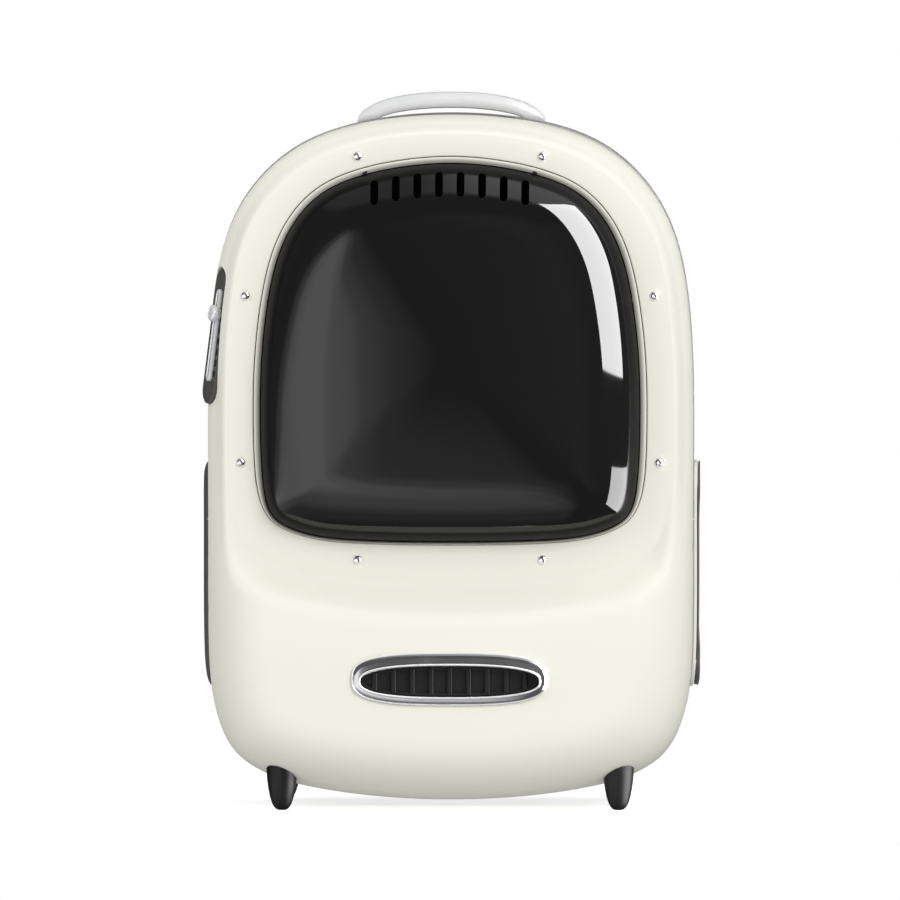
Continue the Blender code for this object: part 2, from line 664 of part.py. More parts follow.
def make_handle():
    outer = []
    inner = []
    steps = 10
    foot = shell_top(HANDLE_HALF) + 1.5
    for k in range(-steps, steps + 1):
        x = HANDLE_HALF * math.sin(k / steps * math.pi / 2)
        share = (1 - abs(x / HANDLE_HALF) ** 2.3) ** (1 / 1.9)
        outer.append((x, foot + (HANDLE_TOP - foot) * share))
    reach = HANDLE_GAP_HALF
    for k in range(-8, 9):
        x = reach * math.sin(k / 8 * math.pi / 2)
        low = shell_top(reach) + GAP
        inner.append((x, low + (HANDLE_GAP_TOP - low) * math.sqrt(1 - (x / reach) ** 2) ** 1.3))
    feet = [[(side * x, shell_top(x) + GAP) for x in (HANDLE_HALF - 0.4, 53)] for side in (-1, 1)]
    outline = outer + feet[1] + inner[::-1] + feet[0][::-1]
    grip = add_solid("handle_grip", prism(outline, *HANDLE_Y), "silver_grey")
    soft = grip.modifiers.new("soften", "BEVEL")
    soft.width = 1.4 * MM
    soft.segments = 1
    soft.limit_method = "ANGLE"
    soft.angle_limit = math.radians(60)
    top = shell_top(CUP_HALF) - 0.4
    middle = sum(CUP_Y) / 2
    size = (2 * CUP_HALF, CUP_Y[1] - CUP_Y[0])
    cup = rounded_rectangle(*size, 12, (0, middle), 4)
    hollow = rounded_rectangle(size[0] - 4, size[1] - 4, 10, (0, middle), 4)
    section = [(cup, CUP_BOTTOM), (cup, top), (hollow, top), (hollow, CUP_BOTTOM + 2)]
    loops = [[(x, y, z) for x, y in outline] for outline, z in section]
    add_solid("handle_cup", loft(loops), "grey_plastic")


# ---------------------------------------------------------------- side pocket and side hatch

def panel_loop(side, inset, height, edge=4):
    """A loop on the side wall, inset from the panel's outline and raised off the wall."""
    width = PANEL_Y[1] - PANEL_Y[0] - 2 * inset
    tall = PANEL_Z[1] - PANEL_Z[0] - 2 * inset
    centre = (sum(PANEL_Y) / 2, sum(PANEL_Z) / 2)
    outline = rounded_rectangle(width, tall, max(PANEL_RADIUS - inset, 4), centre, 4, edge)
    loop = []
    for y, z in outline:
        reach = min(shell_half_width(z) + GAP + height, HALF_WIDTH_LIMIT)
        loop.append((side * reach, y, z))
    return np.array(loop)


def from_origin(loops, origin):
    return [np.asarray(loop) - np.array(origin) for loop in loops]


def make_pocket():
    hinge = (-(HALF_WIDTH_LIMIT - 1.5), PANEL_Y[1] - 1.5, sum(PANEL_Z) / 2)
    section = [(34, 0), (0, 0), (0, 1.6), (3, POCKET_RISE - 1.2), (9, POCKET_RISE - 0.2), (20, POCKET_RISE),
               (34, POCKET_RISE)]
    loops = [panel_loop(-1, inset, height) for inset, height in section]
    add_solid("pocket_cover", loft(from_origin(loops, hinge)), "grey_plastic", hinge)
    wide = HOLE_Y[1] - HOLE_Y[0] - 2 * GAP
    tall = HOLE_Z[1] - HOLE_Z[0] - 2 * GAP
    centre = (sum(HOLE_Y) / 2, sum(HOLE_Z) / 2)
    outer = rounded_rectangle(wide, tall, 9.6, centre, 3)
    inner = rounded_rectangle(wide - 4, tall - 4, 7.6, centre, 3)
    mouth = -(shell_half_width(HOLE_Z[0]) - 0.8)
    loops = [[(mouth + TRAY_DEPTH, y, z) for y, z in outer], [(mouth, y, z) for y, z in outer],
             [(mouth, y, z) for y, z in inner], [(mouth + TRAY_DEPTH - 2, y, z) for y, z in inner]]
    tray = add_solid("pocket_tray", loft(loops), "grey_plastic")
    cut(tray, lathe([(0, -9), (5.5, -9), (5.5, 9), (0, 9)], 12, "X"), BUTTON_CENTRE)
    ux, uy, uz = USB_CENTRE
    cut(tray, box((ux - 9, uy - 4.9, uz - 2), (ux + 9, uy + 4.9, uz + 2)))
    button = [(0, -1.6), (4.2, -1.6), (5.0, -0.9), (5.0, 3.0), (0, 3.0)]
    add_solid("mode_button", lathe(button, 12, "X"), "silver_grey", BUTTON_CENTRE)
    shell = box((ux - 2, uy - 4.5, uz - 1.65), (ux + 6, uy + 4.5, uz + 1.65))
    socket = add_solid("usb_inlet", shell, "steel")
    cut(socket, box((ux - 4, uy - 4.1, uz - 1.2), (ux + 5, uy + 4.1, uz + 1.2)))


def make_hatch():
    rim = [(0.6, 0), (0, 0.8), (0, 1.7), (0.8, 2.2), (16, 2.2), (16, 0)]
    add_solid("hatch_rim", loft([panel_loop(1, *corner) for corner in rim], wrap=True), "ivory")
    hinge = (HALF_WIDTH_LIMIT - 0.5, PANEL_Y[1] - 1.0, sum(PANEL_Z) / 2)
    face = 2.2 + GAP
    section = [(34, 0.3), (16.8, 0.3), (16.8, face), (0.8, face), (0.8, face + 0.6), (3.5, face + 0.95),
               (14, face + 0.95), (34, face + 0.7)]
    loops = [panel_loop(1, inset, height) for inset, height in section]
    for loop in loops[4:]:
        ends = smoothstep(np.abs(loop[:, 2] - sum(PANEL_Z) / 2), *GRIP_RUN)
        loop[:, 0] = np.minimum(loop[:, 0] + GRIP_RISE * ends, HALF_WIDTH_LIMIT)
    add_solid("hatch_door", loft(from_origin(loops, hinge)), "grey_plastic", hinge)


# ---------------------------------------------------------------- back door, pad, straps

def make_back_door():
    hinge = (*DOOR_HINGE, 0)
    inset = DOOR_INSET + 0.7
    section = [(inset + 60, -2.6), (inset, -2.6), (inset, 0.2), (inset + 3, 1.0), (inset + 60, 1.0)]
    loops = [offset_ring(inward, REAR_Y + rise) for inward, rise in section]
    add_solid("back_door", loft(from_origin(loops, hinge)), "grey_fabric", hinge)
    pad = [(42, 1.0 + GAP), (34, 1.4), (32, 5), (35, 11), (46, 14.5), (70, PAD_FRONT - REAR_Y)]
    loops = [offset_ring(inset, REAR_Y + height) for inset, height in pad]
    add_solid("back_pad", loft(from_origin(loops, hinge)), "dark_mesh", hinge)


def strap_path(points, samples):
    """Smooth open curve through (x, y, z) points."""
    points = np.array(points, float)
    where = np.linspace(0, len(points) - 1, samples)
    out = []
    for w in where:
        i = min(int(w), len(points) - 2)
        t = w - i
        p0 = points[max(i - 1, 0)]
        p1 = points[i]
        p2 = points[i + 1]
        p3 = points[min(i + 2, len(points) - 1)]
        out.append(0.5 * (2 * p1 + (p2 - p0) * t + (2 * p0 - 5 * p1 + 4 * p2 - p3) * t**2
                          + (3 * p1 - p0 - 3 * p2 + p3) * t**3))
    return np.array(out)


def band(path, width, thickness, round_share=0.3):
    """A flat band along a path; its width lies along X."""
    loops = []
    for i, point in enumerate(path):
        ahead = path[min(i + 1, len(path) - 1)] - path[max(i - 1, 0)]
        ahead = ahead / np.linalg.norm(ahead)
        across = np.array([1.0, 0, 0])
        across = across - ahead * across.dot(ahead)
        across /= np.linalg.norm(across)
        out = np.cross(ahead, across)
        half_w, half_t = width / 2, thickness / 2
        edge = half_t * round_share * 2
        corners = [(-half_w, 0), (-half_w + edge, half_t), (half_w - edge, half_t), (half_w, 0),
                   (half_w - edge, -half_t), (-half_w + edge, -half_t)]
        loops.append([point + across * a + out * b for a, b in corners])
    return loft(loops)


def make_straps():
    hinge = (*DOOR_HINGE, 0)
    thick = 9.0
    far = STRAP_Y - thick / 2
    for name, side in (("left", -1), ("right", 1)):
        shoulder = [(side * 34, PAD_FRONT + 5.4, 386), (side * 42, far - 2.5, 350),
                    (side * STRAP_X, far, 300), (side * (STRAP_X + 7), far, 240),
                    (side * (STRAP_X + 13), far - 1.5, 190), (side * (STRAP_X + 17), far - 5, 152)]
        path = strap_path(shoulder, 14)
        verts, faces = band(path, STRAP_WIDTH, thick)
        shape = [(x, min(y, STRAP_Y), z) for x, y, z in verts], faces
        add_solid(f"shoulder_strap_{name}", shifted(shape, hinge), "dark_mesh", hinge)
        adjuster = (side * (STRAP_X + 19), far - 6, 136)
        plate = box((-16, -2, -9), (16, 2, 9))
        frame = add_solid(f"strap_adjuster_{name}", plate, "black_plastic", adjuster)
        cut(frame, join([box((-13, -5, -6.5), (13, 5, -3)), box((-13, -5, 1.5), (13, 5, 5))]), adjuster)
        lower = [(side * (STRAP_X + 19.5), far - 7, 124), (side * (STRAP_X + 23), far - 12, 105),
                 (side * (STRAP_X + 29), PAD_FRONT + 5, 84), (side * (STRAP_X + 33), PAD_FRONT + 1.6, 66)]
        shape = band(strap_path(lower, 10), 25, 1.8)
        add_solid(f"strap_webbing_{name}", shifted(shape, hinge), "webbing", hinge)


def shifted(shape, origin):
    return moved(shape, tuple(-value for value in origin))


def make_zip():
    x, y, z = ZIP_PLACE
    wedge = [(-4.5, -6), (4.5, -6), (3.2, 6), (-3.2, 6)]
    slider = add_solid("zip_slider", prism(wedge, -2, 1.6), "steel", ZIP_PLACE)
    unite(slider, box((-1, 1.2, -4), (1, 4.2, 4)), ZIP_PLACE)
    cut(slider, box((-3, 2.0, -2.4), (3, 3.2, 2.4)), ZIP_PLACE)
    pull_at = (x, y + 5.1, z)
    add_solid("zip_pull", prism(rounded_rectangle(7, 26, 2.5, (0, -12.4), 3), -0.6, 0.6), "rubber", pull_at)


# ---------------------------------------------------------------- floor and feet

def make_floor():
    wide = 2 * BOARD_HALF
    deep = BOARD_Y[1] - BOARD_Y[0]
    middle = (0, sum(BOARD_Y) / 2)
    outline = rounded_rectangle(wide, deep, 30, middle, 5)
    add_solid("floor_board", prism(outline, *BOARD_Z, "Z"), "grey_plastic")
    base = BOARD_Z[1] + GAP
    section = [(4, base), (1, base + 1.5), (0, base + 5), (2, MAT_TOP - 1.5), (9, MAT_TOP)]
    loops = []
    for inset, z in section:
        outline = rounded_rectangle(wide - 2 * inset, deep - 2 * inset, 30 - inset, middle, 5)
        loops.append([(x, y, z) for x, y in outline])
    add_solid("floor_mat", loft(loops), "grey_fabric")


def make_feet():
    peg = [(0, 0), (3.4, 0), (5.4, 1.4), (7.0, 5), (8.3, 11), (9.3, 18), (10.0, 27), (10.2, 34), (0, 34)]
    front_body = loft(front_loops(GAP))
    rear_body = loft([offset_ring(inset - GAP, y) for inset, y in REAR_SECTION])
    for depth, body, where in ((FOOT_Y[0], front_body, "front"), (FOOT_Y[1], rear_body, "rear")):
        for name, side in (("left", -1), ("right", 1)):
            foot = add_solid(f"foot_{where}_{name}", lathe(peg, 16), "rubber", (side * FOOT_X, depth, 0))
            cut(foot, body)


clear_scene()
MATERIALS = make_materials()
make_front_shell()
make_lens()
make_window_rings()
make_screws()
make_front_vent()
make_fan()
make_lamp()
make_side_vent()
make_rear_shell()
make_handle()
make_pocket()
make_hatch()
make_back_door()
make_straps()
make_zip()
make_floor()
make_feet()
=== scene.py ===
"""Looks of the cat carrier backpack: fine shells, smoked dome, chrome, padded back and straps.

Lengths are in millimetres and become metres in new_object. +X is right, the window faces -Y, +Z is up.
"""
import json
import math

import bmesh
import bpy
import numpy as np
from mathutils import Matrix, Vector


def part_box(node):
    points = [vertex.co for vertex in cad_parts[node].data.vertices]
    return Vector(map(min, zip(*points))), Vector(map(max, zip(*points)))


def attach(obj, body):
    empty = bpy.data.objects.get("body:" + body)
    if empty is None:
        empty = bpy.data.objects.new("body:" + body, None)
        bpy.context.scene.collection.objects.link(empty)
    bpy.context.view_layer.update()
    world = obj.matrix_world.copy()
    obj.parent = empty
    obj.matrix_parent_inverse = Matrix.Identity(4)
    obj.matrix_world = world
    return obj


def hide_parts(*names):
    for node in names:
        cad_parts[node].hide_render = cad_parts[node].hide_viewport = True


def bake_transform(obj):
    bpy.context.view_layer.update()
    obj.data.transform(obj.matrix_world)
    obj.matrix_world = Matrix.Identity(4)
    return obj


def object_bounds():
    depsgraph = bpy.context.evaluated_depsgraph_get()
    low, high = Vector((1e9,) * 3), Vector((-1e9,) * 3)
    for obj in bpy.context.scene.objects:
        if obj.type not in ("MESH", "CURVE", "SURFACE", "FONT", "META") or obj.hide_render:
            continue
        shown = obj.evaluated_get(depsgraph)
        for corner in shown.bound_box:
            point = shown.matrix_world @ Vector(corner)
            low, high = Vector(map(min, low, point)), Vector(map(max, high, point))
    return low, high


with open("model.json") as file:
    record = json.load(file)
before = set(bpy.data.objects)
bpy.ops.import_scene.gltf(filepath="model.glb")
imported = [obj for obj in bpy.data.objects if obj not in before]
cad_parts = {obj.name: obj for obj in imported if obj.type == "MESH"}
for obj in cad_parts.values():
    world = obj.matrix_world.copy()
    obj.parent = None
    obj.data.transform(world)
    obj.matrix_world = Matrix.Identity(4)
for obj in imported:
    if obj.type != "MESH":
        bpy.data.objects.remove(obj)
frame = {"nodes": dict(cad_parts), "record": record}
CAD_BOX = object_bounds()

MM = 0.001
GAP = 0.35
SIDES = 256

# The design's own outlines and depths, as the CAD part has them.
SHELL_HALF = [(0, 441), (51, 436.7), (96, 421.6), (134.4, 382.7), (151, 324), (154.2, 270), (154.2, 190),
              (154, 112), (149, 62), (137, 36.5), (115, 21.5), (83.2, 12.8), (44.8, 7.7), (0, 5.8)]
CREASE_HALF = [(0, 429.4), (51, 424.3), (96, 404.5), (123.5, 375.5), (138, 322), (141.2, 280), (141.8, 235),
               (140.2, 204), (135.7, 183.7), (126, 166), (110, 156.8), (76.8, 149.8), (0, 145.3)]
LENS_HALF = [(0, 411.2), (32, 408.6), (60.8, 401.9), (80, 393), (94.7, 379.5), (107.5, 356.5), (115.2, 325.8),
             (120, 280), (120.4, 240), (118.6, 207), (112, 186.5), (100, 179), (61, 172.2), (0, 170.9)]
RAY_CENTRE = (0, 275)
DOME_CENTRE = (0.0, 290.0)
FACE_Y = -112.0
RIM_Y = -84.0
PARTING_Y = -40.0
WALL = 3.0
BELLY_Y = -134.0
BELLY_CROWN = 3.0
UPPER_Y = -118.0
EDGE_RADIUS = 40.0
BELLY_Z = (100.0, 235.0)
LIP_WIDTH = 4.8
LIP_WIDTH_BOTTOM = 2.2
FLANGE_WIDTH = 16.0
FLANGE_Y = -107.6
LENS_WALL = 2.2
DOME_SHOULDER = 42.0
DOME_CROWN = 7.4
SLOT_COUNT = 8
SLOT_PITCH = 13.7
RIB_COUNT = 9
RIB_PITCH = 11.9
VENT_CENTRE = (-149.0, -93.0, 301.5)
VENT_LENGTH = 87.4
VENT_WIDTH = 20.6
KNOB_RISE = 13.8
REAR_Y = 106.0
DOOR_INSET = 24.0
REAR_SECTION = [(0.6, PARTING_Y + 3.3), (0.3, -26), (0.6, 40), (3, 78), (8.5, 96), (16, REAR_Y - 1),
                (DOOR_INSET, REAR_Y)]
PIPING_Y = 77.6
FOOT_X = 107.0
FOOT_Y = {"front": -106.0, "rear": 62.0}
PANEL_Y = (-24.0, 74.0)
PANEL_Z = (75.0, 218.0)
PANEL_RADIUS = 22.0
HALF_WIDTH_LIMIT = 158.5
ZIP_AXIS = (115.1, 150.0)
PAD_FACE = REAR_Y + 6.2
STRAP_Y = 140.5
YOKE_Z = 394.5
CUSHIONS = [("upper_left", -52, 318, 74, 118, 22), ("upper_right", 52, 318, 74, 118, 22),
            ("lower_left", -56, 186, 82, 118, 18), ("lower_right", 56, 186, 82, 118, 18),
            ("lumbar", 0, 88, 132, 50, 16)]
THREAD_RADIUS = 0.34
STITCH_PITCH = 4.7
STITCH_LIFT = np.array([-0.35, 0.7, 1.0, 0.7, -0.35])[:, None]
BACK = (0, 1, 0)

# Where an outline's (a, b) and a height go in space, for each axis that the height may follow.
AXES = {"X": lambda a, b, h: (h, a, b), "Y": lambda a, b, h: (a, h, b), "Z": lambda a, b, h: (a, b, h)}


def span_of(node):
    """Lowest and highest corner of a CAD node, in millimetres."""
    low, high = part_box(node)
    return Vector(low) / MM, Vector(high) / MM


# ---------------------------------------------------------------- curves

def smoothstep(value, low, high):
    t = np.clip((np.asarray(value, float) - low) / (high - low), 0, 1)
    return t * t * (3 - 2 * t)


def unit(vectors):
    return vectors / np.linalg.norm(vectors, axis=1)[:, None]


def run_length(path):
    """Length along a path at each of its points."""
    return np.concatenate([[0], np.cumsum(np.linalg.norm(np.diff(path, axis=0), axis=1))])


def closed_spline(half, samples=1440):
    """Smooth symmetric closed curve through a half outline and its mirror image."""
    points = np.array(half + [(-x, z) for x, z in half[-2:0:-1]], float)
    count = len(points)
    length = np.linalg.norm(np.roll(points, -1, 0) - points, axis=1)
    slope = (np.roll(points, -1, 0) - points) / length[:, None]
    before = np.roll(length, 1)
    system = np.diag(2 * (before + length))
    for i in range(count):
        system[i, i - 1] += length[i]
        system[i, (i + 1) % count] += before[i]
    pull = 3 * (length[:, None] * np.roll(slope, 1, 0) + before[:, None] * slope)
    tangent = np.linalg.solve(system, pull)
    knots = np.concatenate([[0], np.cumsum(length)])
    where = np.linspace(0, knots[-1], samples, endpoint=False)
    part = np.searchsorted(knots, where, side="right") - 1
    t = ((where - knots[part]) / length[part])[:, None]
    step = length[part][:, None]
    p, q = points[part], points[(part + 1) % count]
    m, n = tangent[part] * step, tangent[(part + 1) % count] * step
    return ((2 * t**3 - 3 * t**2 + 1) * p + (t**3 - 2 * t**2 + t) * m
            + (-2 * t**3 + 3 * t**2) * q + (t**3 - t**2) * n)


def offset_curve(curve, distance):
    along = unit(np.roll(curve, -1, 0) - np.roll(curve, 1, 0))
    sideways = np.stack([-along[:, 1], along[:, 0]], 1)
    return curve + sideways * np.broadcast_to(distance, len(curve))[:, None]


def polar(curve):
    return np.arctan2(curve[:, 0] - RAY_CENTRE[0], curve[:, 1] - RAY_CENTRE[1])


def ring(curve, angles):
    """Points of a closed curve at the given bearings from the ray centre."""
    bearing = polar(curve)
    order = np.argsort(bearing)
    bearing, curve = bearing[order], curve[order]
    bearing = np.concatenate([bearing - 2 * math.pi, bearing, bearing + 2 * math.pi])
    curve = np.concatenate([curve] * 3)
    return np.stack([np.interp(angles, bearing, curve[:, k]) for k in (0, 1)], 1)


def even_angles(curve, count):
    run = run_length(curve)
    even = np.linspace(0, run[-1] * len(curve) / (len(curve) - 1), count, endpoint=False)
    return np.interp(even, run, np.unwrap(polar(curve)))


def at_depth(points, depth):
    """(x, z) points placed at a depth y."""
    depth = np.broadcast_to(depth, len(points))
    return np.stack([points[:, 0], depth, points[:, 1]], 1)


def edge_distance(points, curve):
    return np.min(np.linalg.norm(points[:, None] - curve[None], axis=2), axis=1)


SHELL = closed_spline(SHELL_HALF)
CREASE = closed_spline(CREASE_HALF)
LENS = closed_spline(LENS_HALF)
ANGLES = even_angles(SHELL, SIDES)
LENS_ANGLES = even_angles(LENS, SIDES)
LIP = offset_curve(LENS, LIP_WIDTH_BOTTOM + (LIP_WIDTH - LIP_WIDTH_BOTTOM) * smoothstep(LENS[:, 1], 176, 215))


def shell_ring(inset, depth):
    return at_depth(ring(offset_curve(SHELL, -inset), ANGLES), depth)


def shell_rows(section, face=0.0, edge=0.0):
    """Rings inside the shell's outline, for a section of (inset, rise) measured from an edge and a face."""
    return [shell_ring(edge + inset, face + rise) for inset, rise in section]


def shell_half_width(z):
    side = SHELL[(SHELL[:, 0] > 0) & (SHELL[:, 1] < 330)]
    side = side[np.argsort(side[:, 1])]
    return float(np.interp(z, side[:, 1], side[:, 0]))


def shell_top(x):
    top = SHELL[SHELL[:, 1] > 330]
    top = top[np.argsort(top[:, 0])]
    return float(np.interp(x, top[:, 0], top[:, 1]))


def outward(points):
    """Unit directions away from the shell's middle line."""
    away = points - np.array([0, 0, RAY_CENTRE[1]])
    away[:, 1] = 0
    return unit(away)


def squircle(across, up, turn):
    """Point of a superellipse: half sizes and their powers are in across and up."""
    cos, sin = np.cos(turn), np.sin(turn)
    return (across[0] * np.sign(cos) * np.abs(cos) ** (2 / across[1]),
            up[0] * np.sign(sin) * np.abs(sin) ** (2 / up[1]))


def oval(width, height, centre_z, power, count=128):
    turn = np.linspace(0, 2 * math.pi, count, endpoint=False)
    x, z = squircle((width / 2, power), (height / 2, power), turn)
    return np.stack([x, centre_z + z], 1)


def rounded_rectangle(width, height, radius, centre=(0, 0), corner=9, edge=1):
    """Outline with `corner` points in each corner and each straight side in `edge` parts."""
    points = []
    for side_x, side_y, start in ((1, 1, 0), (-1, 1, 90), (-1, -1, 180), (1, -1, 270)):
        cx = centre[0] + side_x * (width / 2 - radius)
        cy = centre[1] + side_y * (height / 2 - radius)
        for step in range(corner):
            angle = math.radians(start + 90 * step / (corner - 1))
            points.append((cx + radius * math.cos(angle), cy + radius * math.sin(angle)))
    out = []
    for i, point in enumerate(points):
        out.append(point)
        if i % corner == corner - 1:
            following = points[(i + 1) % len(points)]
            for k in range(1, edge):
                out.append(tuple(p + (q - p) * k / edge for p, q in zip(point, following)))
    return out


def slot_outline(length, width, steps=12, centre=(0, 0)):
    radius = width / 2
    reach = length / 2 - radius
    points = []
    for side, start in ((1, 0), (-1, 180)):
        for k in range(steps + 1):
            angle = math.radians(start + 180 * k / steps)
            points.append((centre[0] + radius * math.cos(angle),
                           centre[1] + side * reach + radius * math.sin(angle)))
    return points


# ---------------------------------------------------------------- solids

def loft(loops, wrap=False):
    """Skin through closed loops of points; wrap joins the last loop to the first."""
    count = len(loops[0])
    verts = [tuple(float(c) for c in point) for loop in loops for point in loop]
    faces = []
    for row in range(len(loops) if wrap else len(loops) - 1):
        low = row * count
        high = (row + 1) % len(loops) * count
        for i in range(count):
            j = (i + 1) % count
            faces.append((low + i, low + j, high + j, high + i))
    if not wrap:
        faces.append(tuple(reversed(range(count))))
        faces.append(tuple(range(len(verts) - count, len(verts))))
    return verts, faces


def levels(pairs, axis="Z"):
    """Loops of points from (outline, height) pairs."""
    return [[AXES[axis](a, b, h) for a, b in outline] for outline, h in pairs]


def stack(steps, size, radius, centre=(0, 0), axis="Z", least=3, corner=9, edge=1):
    """Skin of rounded rectangles, one for each (inset, height) step."""
    pairs = []
    for inset, height in steps:
        wide, tall = size[0] - 2 * inset, size[1] - 2 * inset
        outline = rounded_rectangle(wide, tall, max(radius - inset, least), centre, corner, edge)
        pairs.append((outline, height))
    return loft(levels(pairs, axis))


def prism(outline, low, high, axis="Y"):
    return loft(levels([(outline, low), (outline, high)], axis))


def lathe(profile, sides, axis="Z", flute=None):
    """Turned profile of (radius, height); flute(angle, radius, height) may change the radius."""
    verts = []
    rows = []
    for radius, height in profile:
        if radius == 0:
            rows.append([len(verts)] * sides)
            verts.append(AXES[axis](0, 0, height))
            continue
        rows.append(list(range(len(verts), len(verts) + sides)))
        for i in range(sides):
            angle = 2 * math.pi * i / sides
            r = radius if flute is None else flute(angle, radius, height)
            verts.append(AXES[axis](r * math.cos(angle), r * math.sin(angle), height))
    faces = []
    for low, high in zip(rows, rows[1:] + rows[:1]):
        for i in range(sides):
            j = (i + 1) % sides
            face = list(dict.fromkeys((low[i], low[j], high[j], high[i])))
            if len(face) > 2:
                faces.append(tuple(face))
    return verts, faces


def box(low, high):
    (x0, y0, z0), (x1, y1, z1) = low, high
    return prism([(x0, z0), (x1, z0), (x1, z1), (x0, z1)], y0, y1)


def join(shapes):
    verts = []
    faces = []
    for more_verts, more_faces in shapes:
        start = len(verts)
        verts.extend(more_verts)
        faces.extend(tuple(i + start for i in face) for face in more_faces)
    return verts, faces


def placed(shape, origin, turn=None):
    verts, faces = shape
    turn = Matrix.Identity(3) if turn is None else turn
    return [tuple(turn @ Vector(v) + Vector(origin)) for v in verts], faces


# ---------------------------------------------------------------- tubes, bands and stitches

def smooth_path(points, samples):
    """Smooth open curve through (x, y, z) points."""
    points = np.array(points, float)
    out = []
    for w in np.linspace(0, len(points) - 1, samples):
        i = min(int(w), len(points) - 2)
        t = w - i
        p0, p1, p2, p3 = (points[min(max(i + k, 0), len(points) - 1)] for k in (-1, 0, 1, 2))
        out.append(0.5 * (2 * p1 + (p2 - p0) * t + (2 * p0 - 5 * p1 + 4 * p2 - p3) * t**2
                          + (3 * p1 - p0 - 3 * p2 + p3) * t**3))
    return np.array(out)


def resample(path, step, closed=False):
    path = np.asarray(path, float)
    if closed:
        path = np.vstack([path, path[:1]])
    run = run_length(path)
    count = max(int(round(run[-1] / step)), 2)
    where = np.linspace(0, run[-1], count, endpoint=not closed)
    return np.stack([np.interp(where, run, path[:, k]) for k in range(3)], 1)


def headings(path, closed=False):
    if closed:
        return unit(np.roll(path, -1, 0) - np.roll(path, 1, 0))
    return unit(np.gradient(path, axis=0))


def tube(path, radius, sides=8, closed=False, out=BACK):
    """A round tube along a path; out is a direction that the path never follows."""
    path = np.asarray(path, float)
    ahead = headings(path, closed)
    up = np.cross(ahead, np.array(out, float))
    up /= np.maximum(np.linalg.norm(up, axis=1), 1e-6)[:, None]
    side = np.cross(up, ahead)
    turn = np.arange(sides) * 2 * math.pi / sides
    cos, sin = np.cos(turn)[:, None], np.sin(turn)[:, None]
    return loft([point + radius * (cos * up[k] + sin * side[k]) for k, point in enumerate(path)], wrap=closed)


def band(path, profile):
    """A flat section of (a, b) points swept along a path; a runs across and b out of it."""
    path = np.asarray(path, float)
    ahead = headings(path)
    across = np.array([1.0, 0, 0])
    loops = []
    for k, point in enumerate(path):
        wide = across - ahead[k] * np.dot(across, ahead[k])
        wide /= np.linalg.norm(wide)
        out = np.cross(ahead[k], wide)
        section = profile(k / (len(path) - 1)) if callable(profile) else profile
        loops.append([point + wide * a + out * b for a, b in section])
    return loft(loops)


def strap_section(width, thickness, steps=9, power=3.2):
    """A flat band's section with rounded edges."""
    turn = np.linspace(0, 2 * math.pi, 4 * steps, endpoint=False)
    return list(zip(*squircle((width / 2, power * 2), (thickness / 2, power), turn)))


def stitches(path, out=BACK, closed=False, rise=0.3):
    """Thread stitches along a path; out is the direction off the cloth."""
    path = resample(path, STITCH_PITCH / 8, closed)
    parts = []
    for start in range(0, len(path) - 5, 8):
        picked = path[[start, start + 1, start + 2, start + 3, start + 5]]
        piece = picked + np.array(out, float) * STITCH_LIFT * rise
        if np.linalg.norm(piece[-1] - piece[0]) >= 0.5:
            parts.append(tube(piece, THREAD_RADIUS, 5, out=out))
    return join(parts)


def seam(path, rise=0.28):
    """Stitches round the outside of the shell, along a closed path."""
    path = resample(path, STITCH_PITCH / 8, True)
    out = outward(path)
    parts = []
    for start in range(0, len(path) - 5, 8):
        pick = [start, start + 1, start + 3, start + 4, start + 5]
        parts.append(tube(path[pick] + out[pick] * STITCH_LIFT * rise, THREAD_RADIUS, 5, out=out[start]))
    return join(parts)


def outline_path(width, height, radius, centre, y):
    corners = rounded_rectangle(width, height, radius, centre, 9)
    return resample([(x, y, z) for x, z in corners], 2.0, True)


# ---------------------------------------------------------------- objects

def new_object(name, shape, finish=None, angle=35):
    verts, faces = shape
    mesh = bpy.data.meshes.new(name)
    mesh.from_pydata([tuple(c * MM for c in v) for v in verts], [], faces)
    bm = bmesh.new()
    bm.from_mesh(mesh)
    bmesh.ops.recalc_face_normals(bm, faces=bm.faces)
    bm.to_mesh(mesh)
    bm.free()
    mesh.shade_smooth()
    mesh.set_sharp_from_angle(angle=math.radians(angle))
    obj = bpy.data.objects.new(name, mesh)
    bpy.context.scene.collection.objects.link(obj)
    if finish:
        mesh.materials.append(MATERIALS[finish])
    return obj


def bake(obj):
    """Turn an object's modifiers into its mesh."""
    depsgraph = bpy.context.evaluated_depsgraph_get()
    depsgraph.update()
    mesh = bpy.data.meshes.new_from_object(obj.evaluated_get(depsgraph))
    obj.modifiers.clear()
    obj.data = mesh


def cut(obj, shape, folds=False):
    """Cut a shape away; folds is for a wall whose inner side crosses itself a little."""
    tool = new_object("tool", shape)
    mod = obj.modifiers.new("cut", "BOOLEAN")
    mod.operation = "DIFFERENCE"
    mod.use_self = folds
    mod.object = tool
    bake(obj)
    bpy.data.objects.remove(tool, do_unlink=True)
    obj.data.set_sharp_from_angle(angle=math.radians(35))


def settle(obj, body="carrier", stands_for=()):
    """Say which body carries a piece, which CAD nodes it stands for."""
    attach(obj, body)
    if stands_for:
        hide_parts(*stands_for)


def add_piece(name, shape, finish, body="carrier", stands_for=(), angle=35):
    obj = new_object(name, shape, finish, angle)
    settle(obj, body, stands_for)
    return obj


# ---------------------------------------------------------------- materials

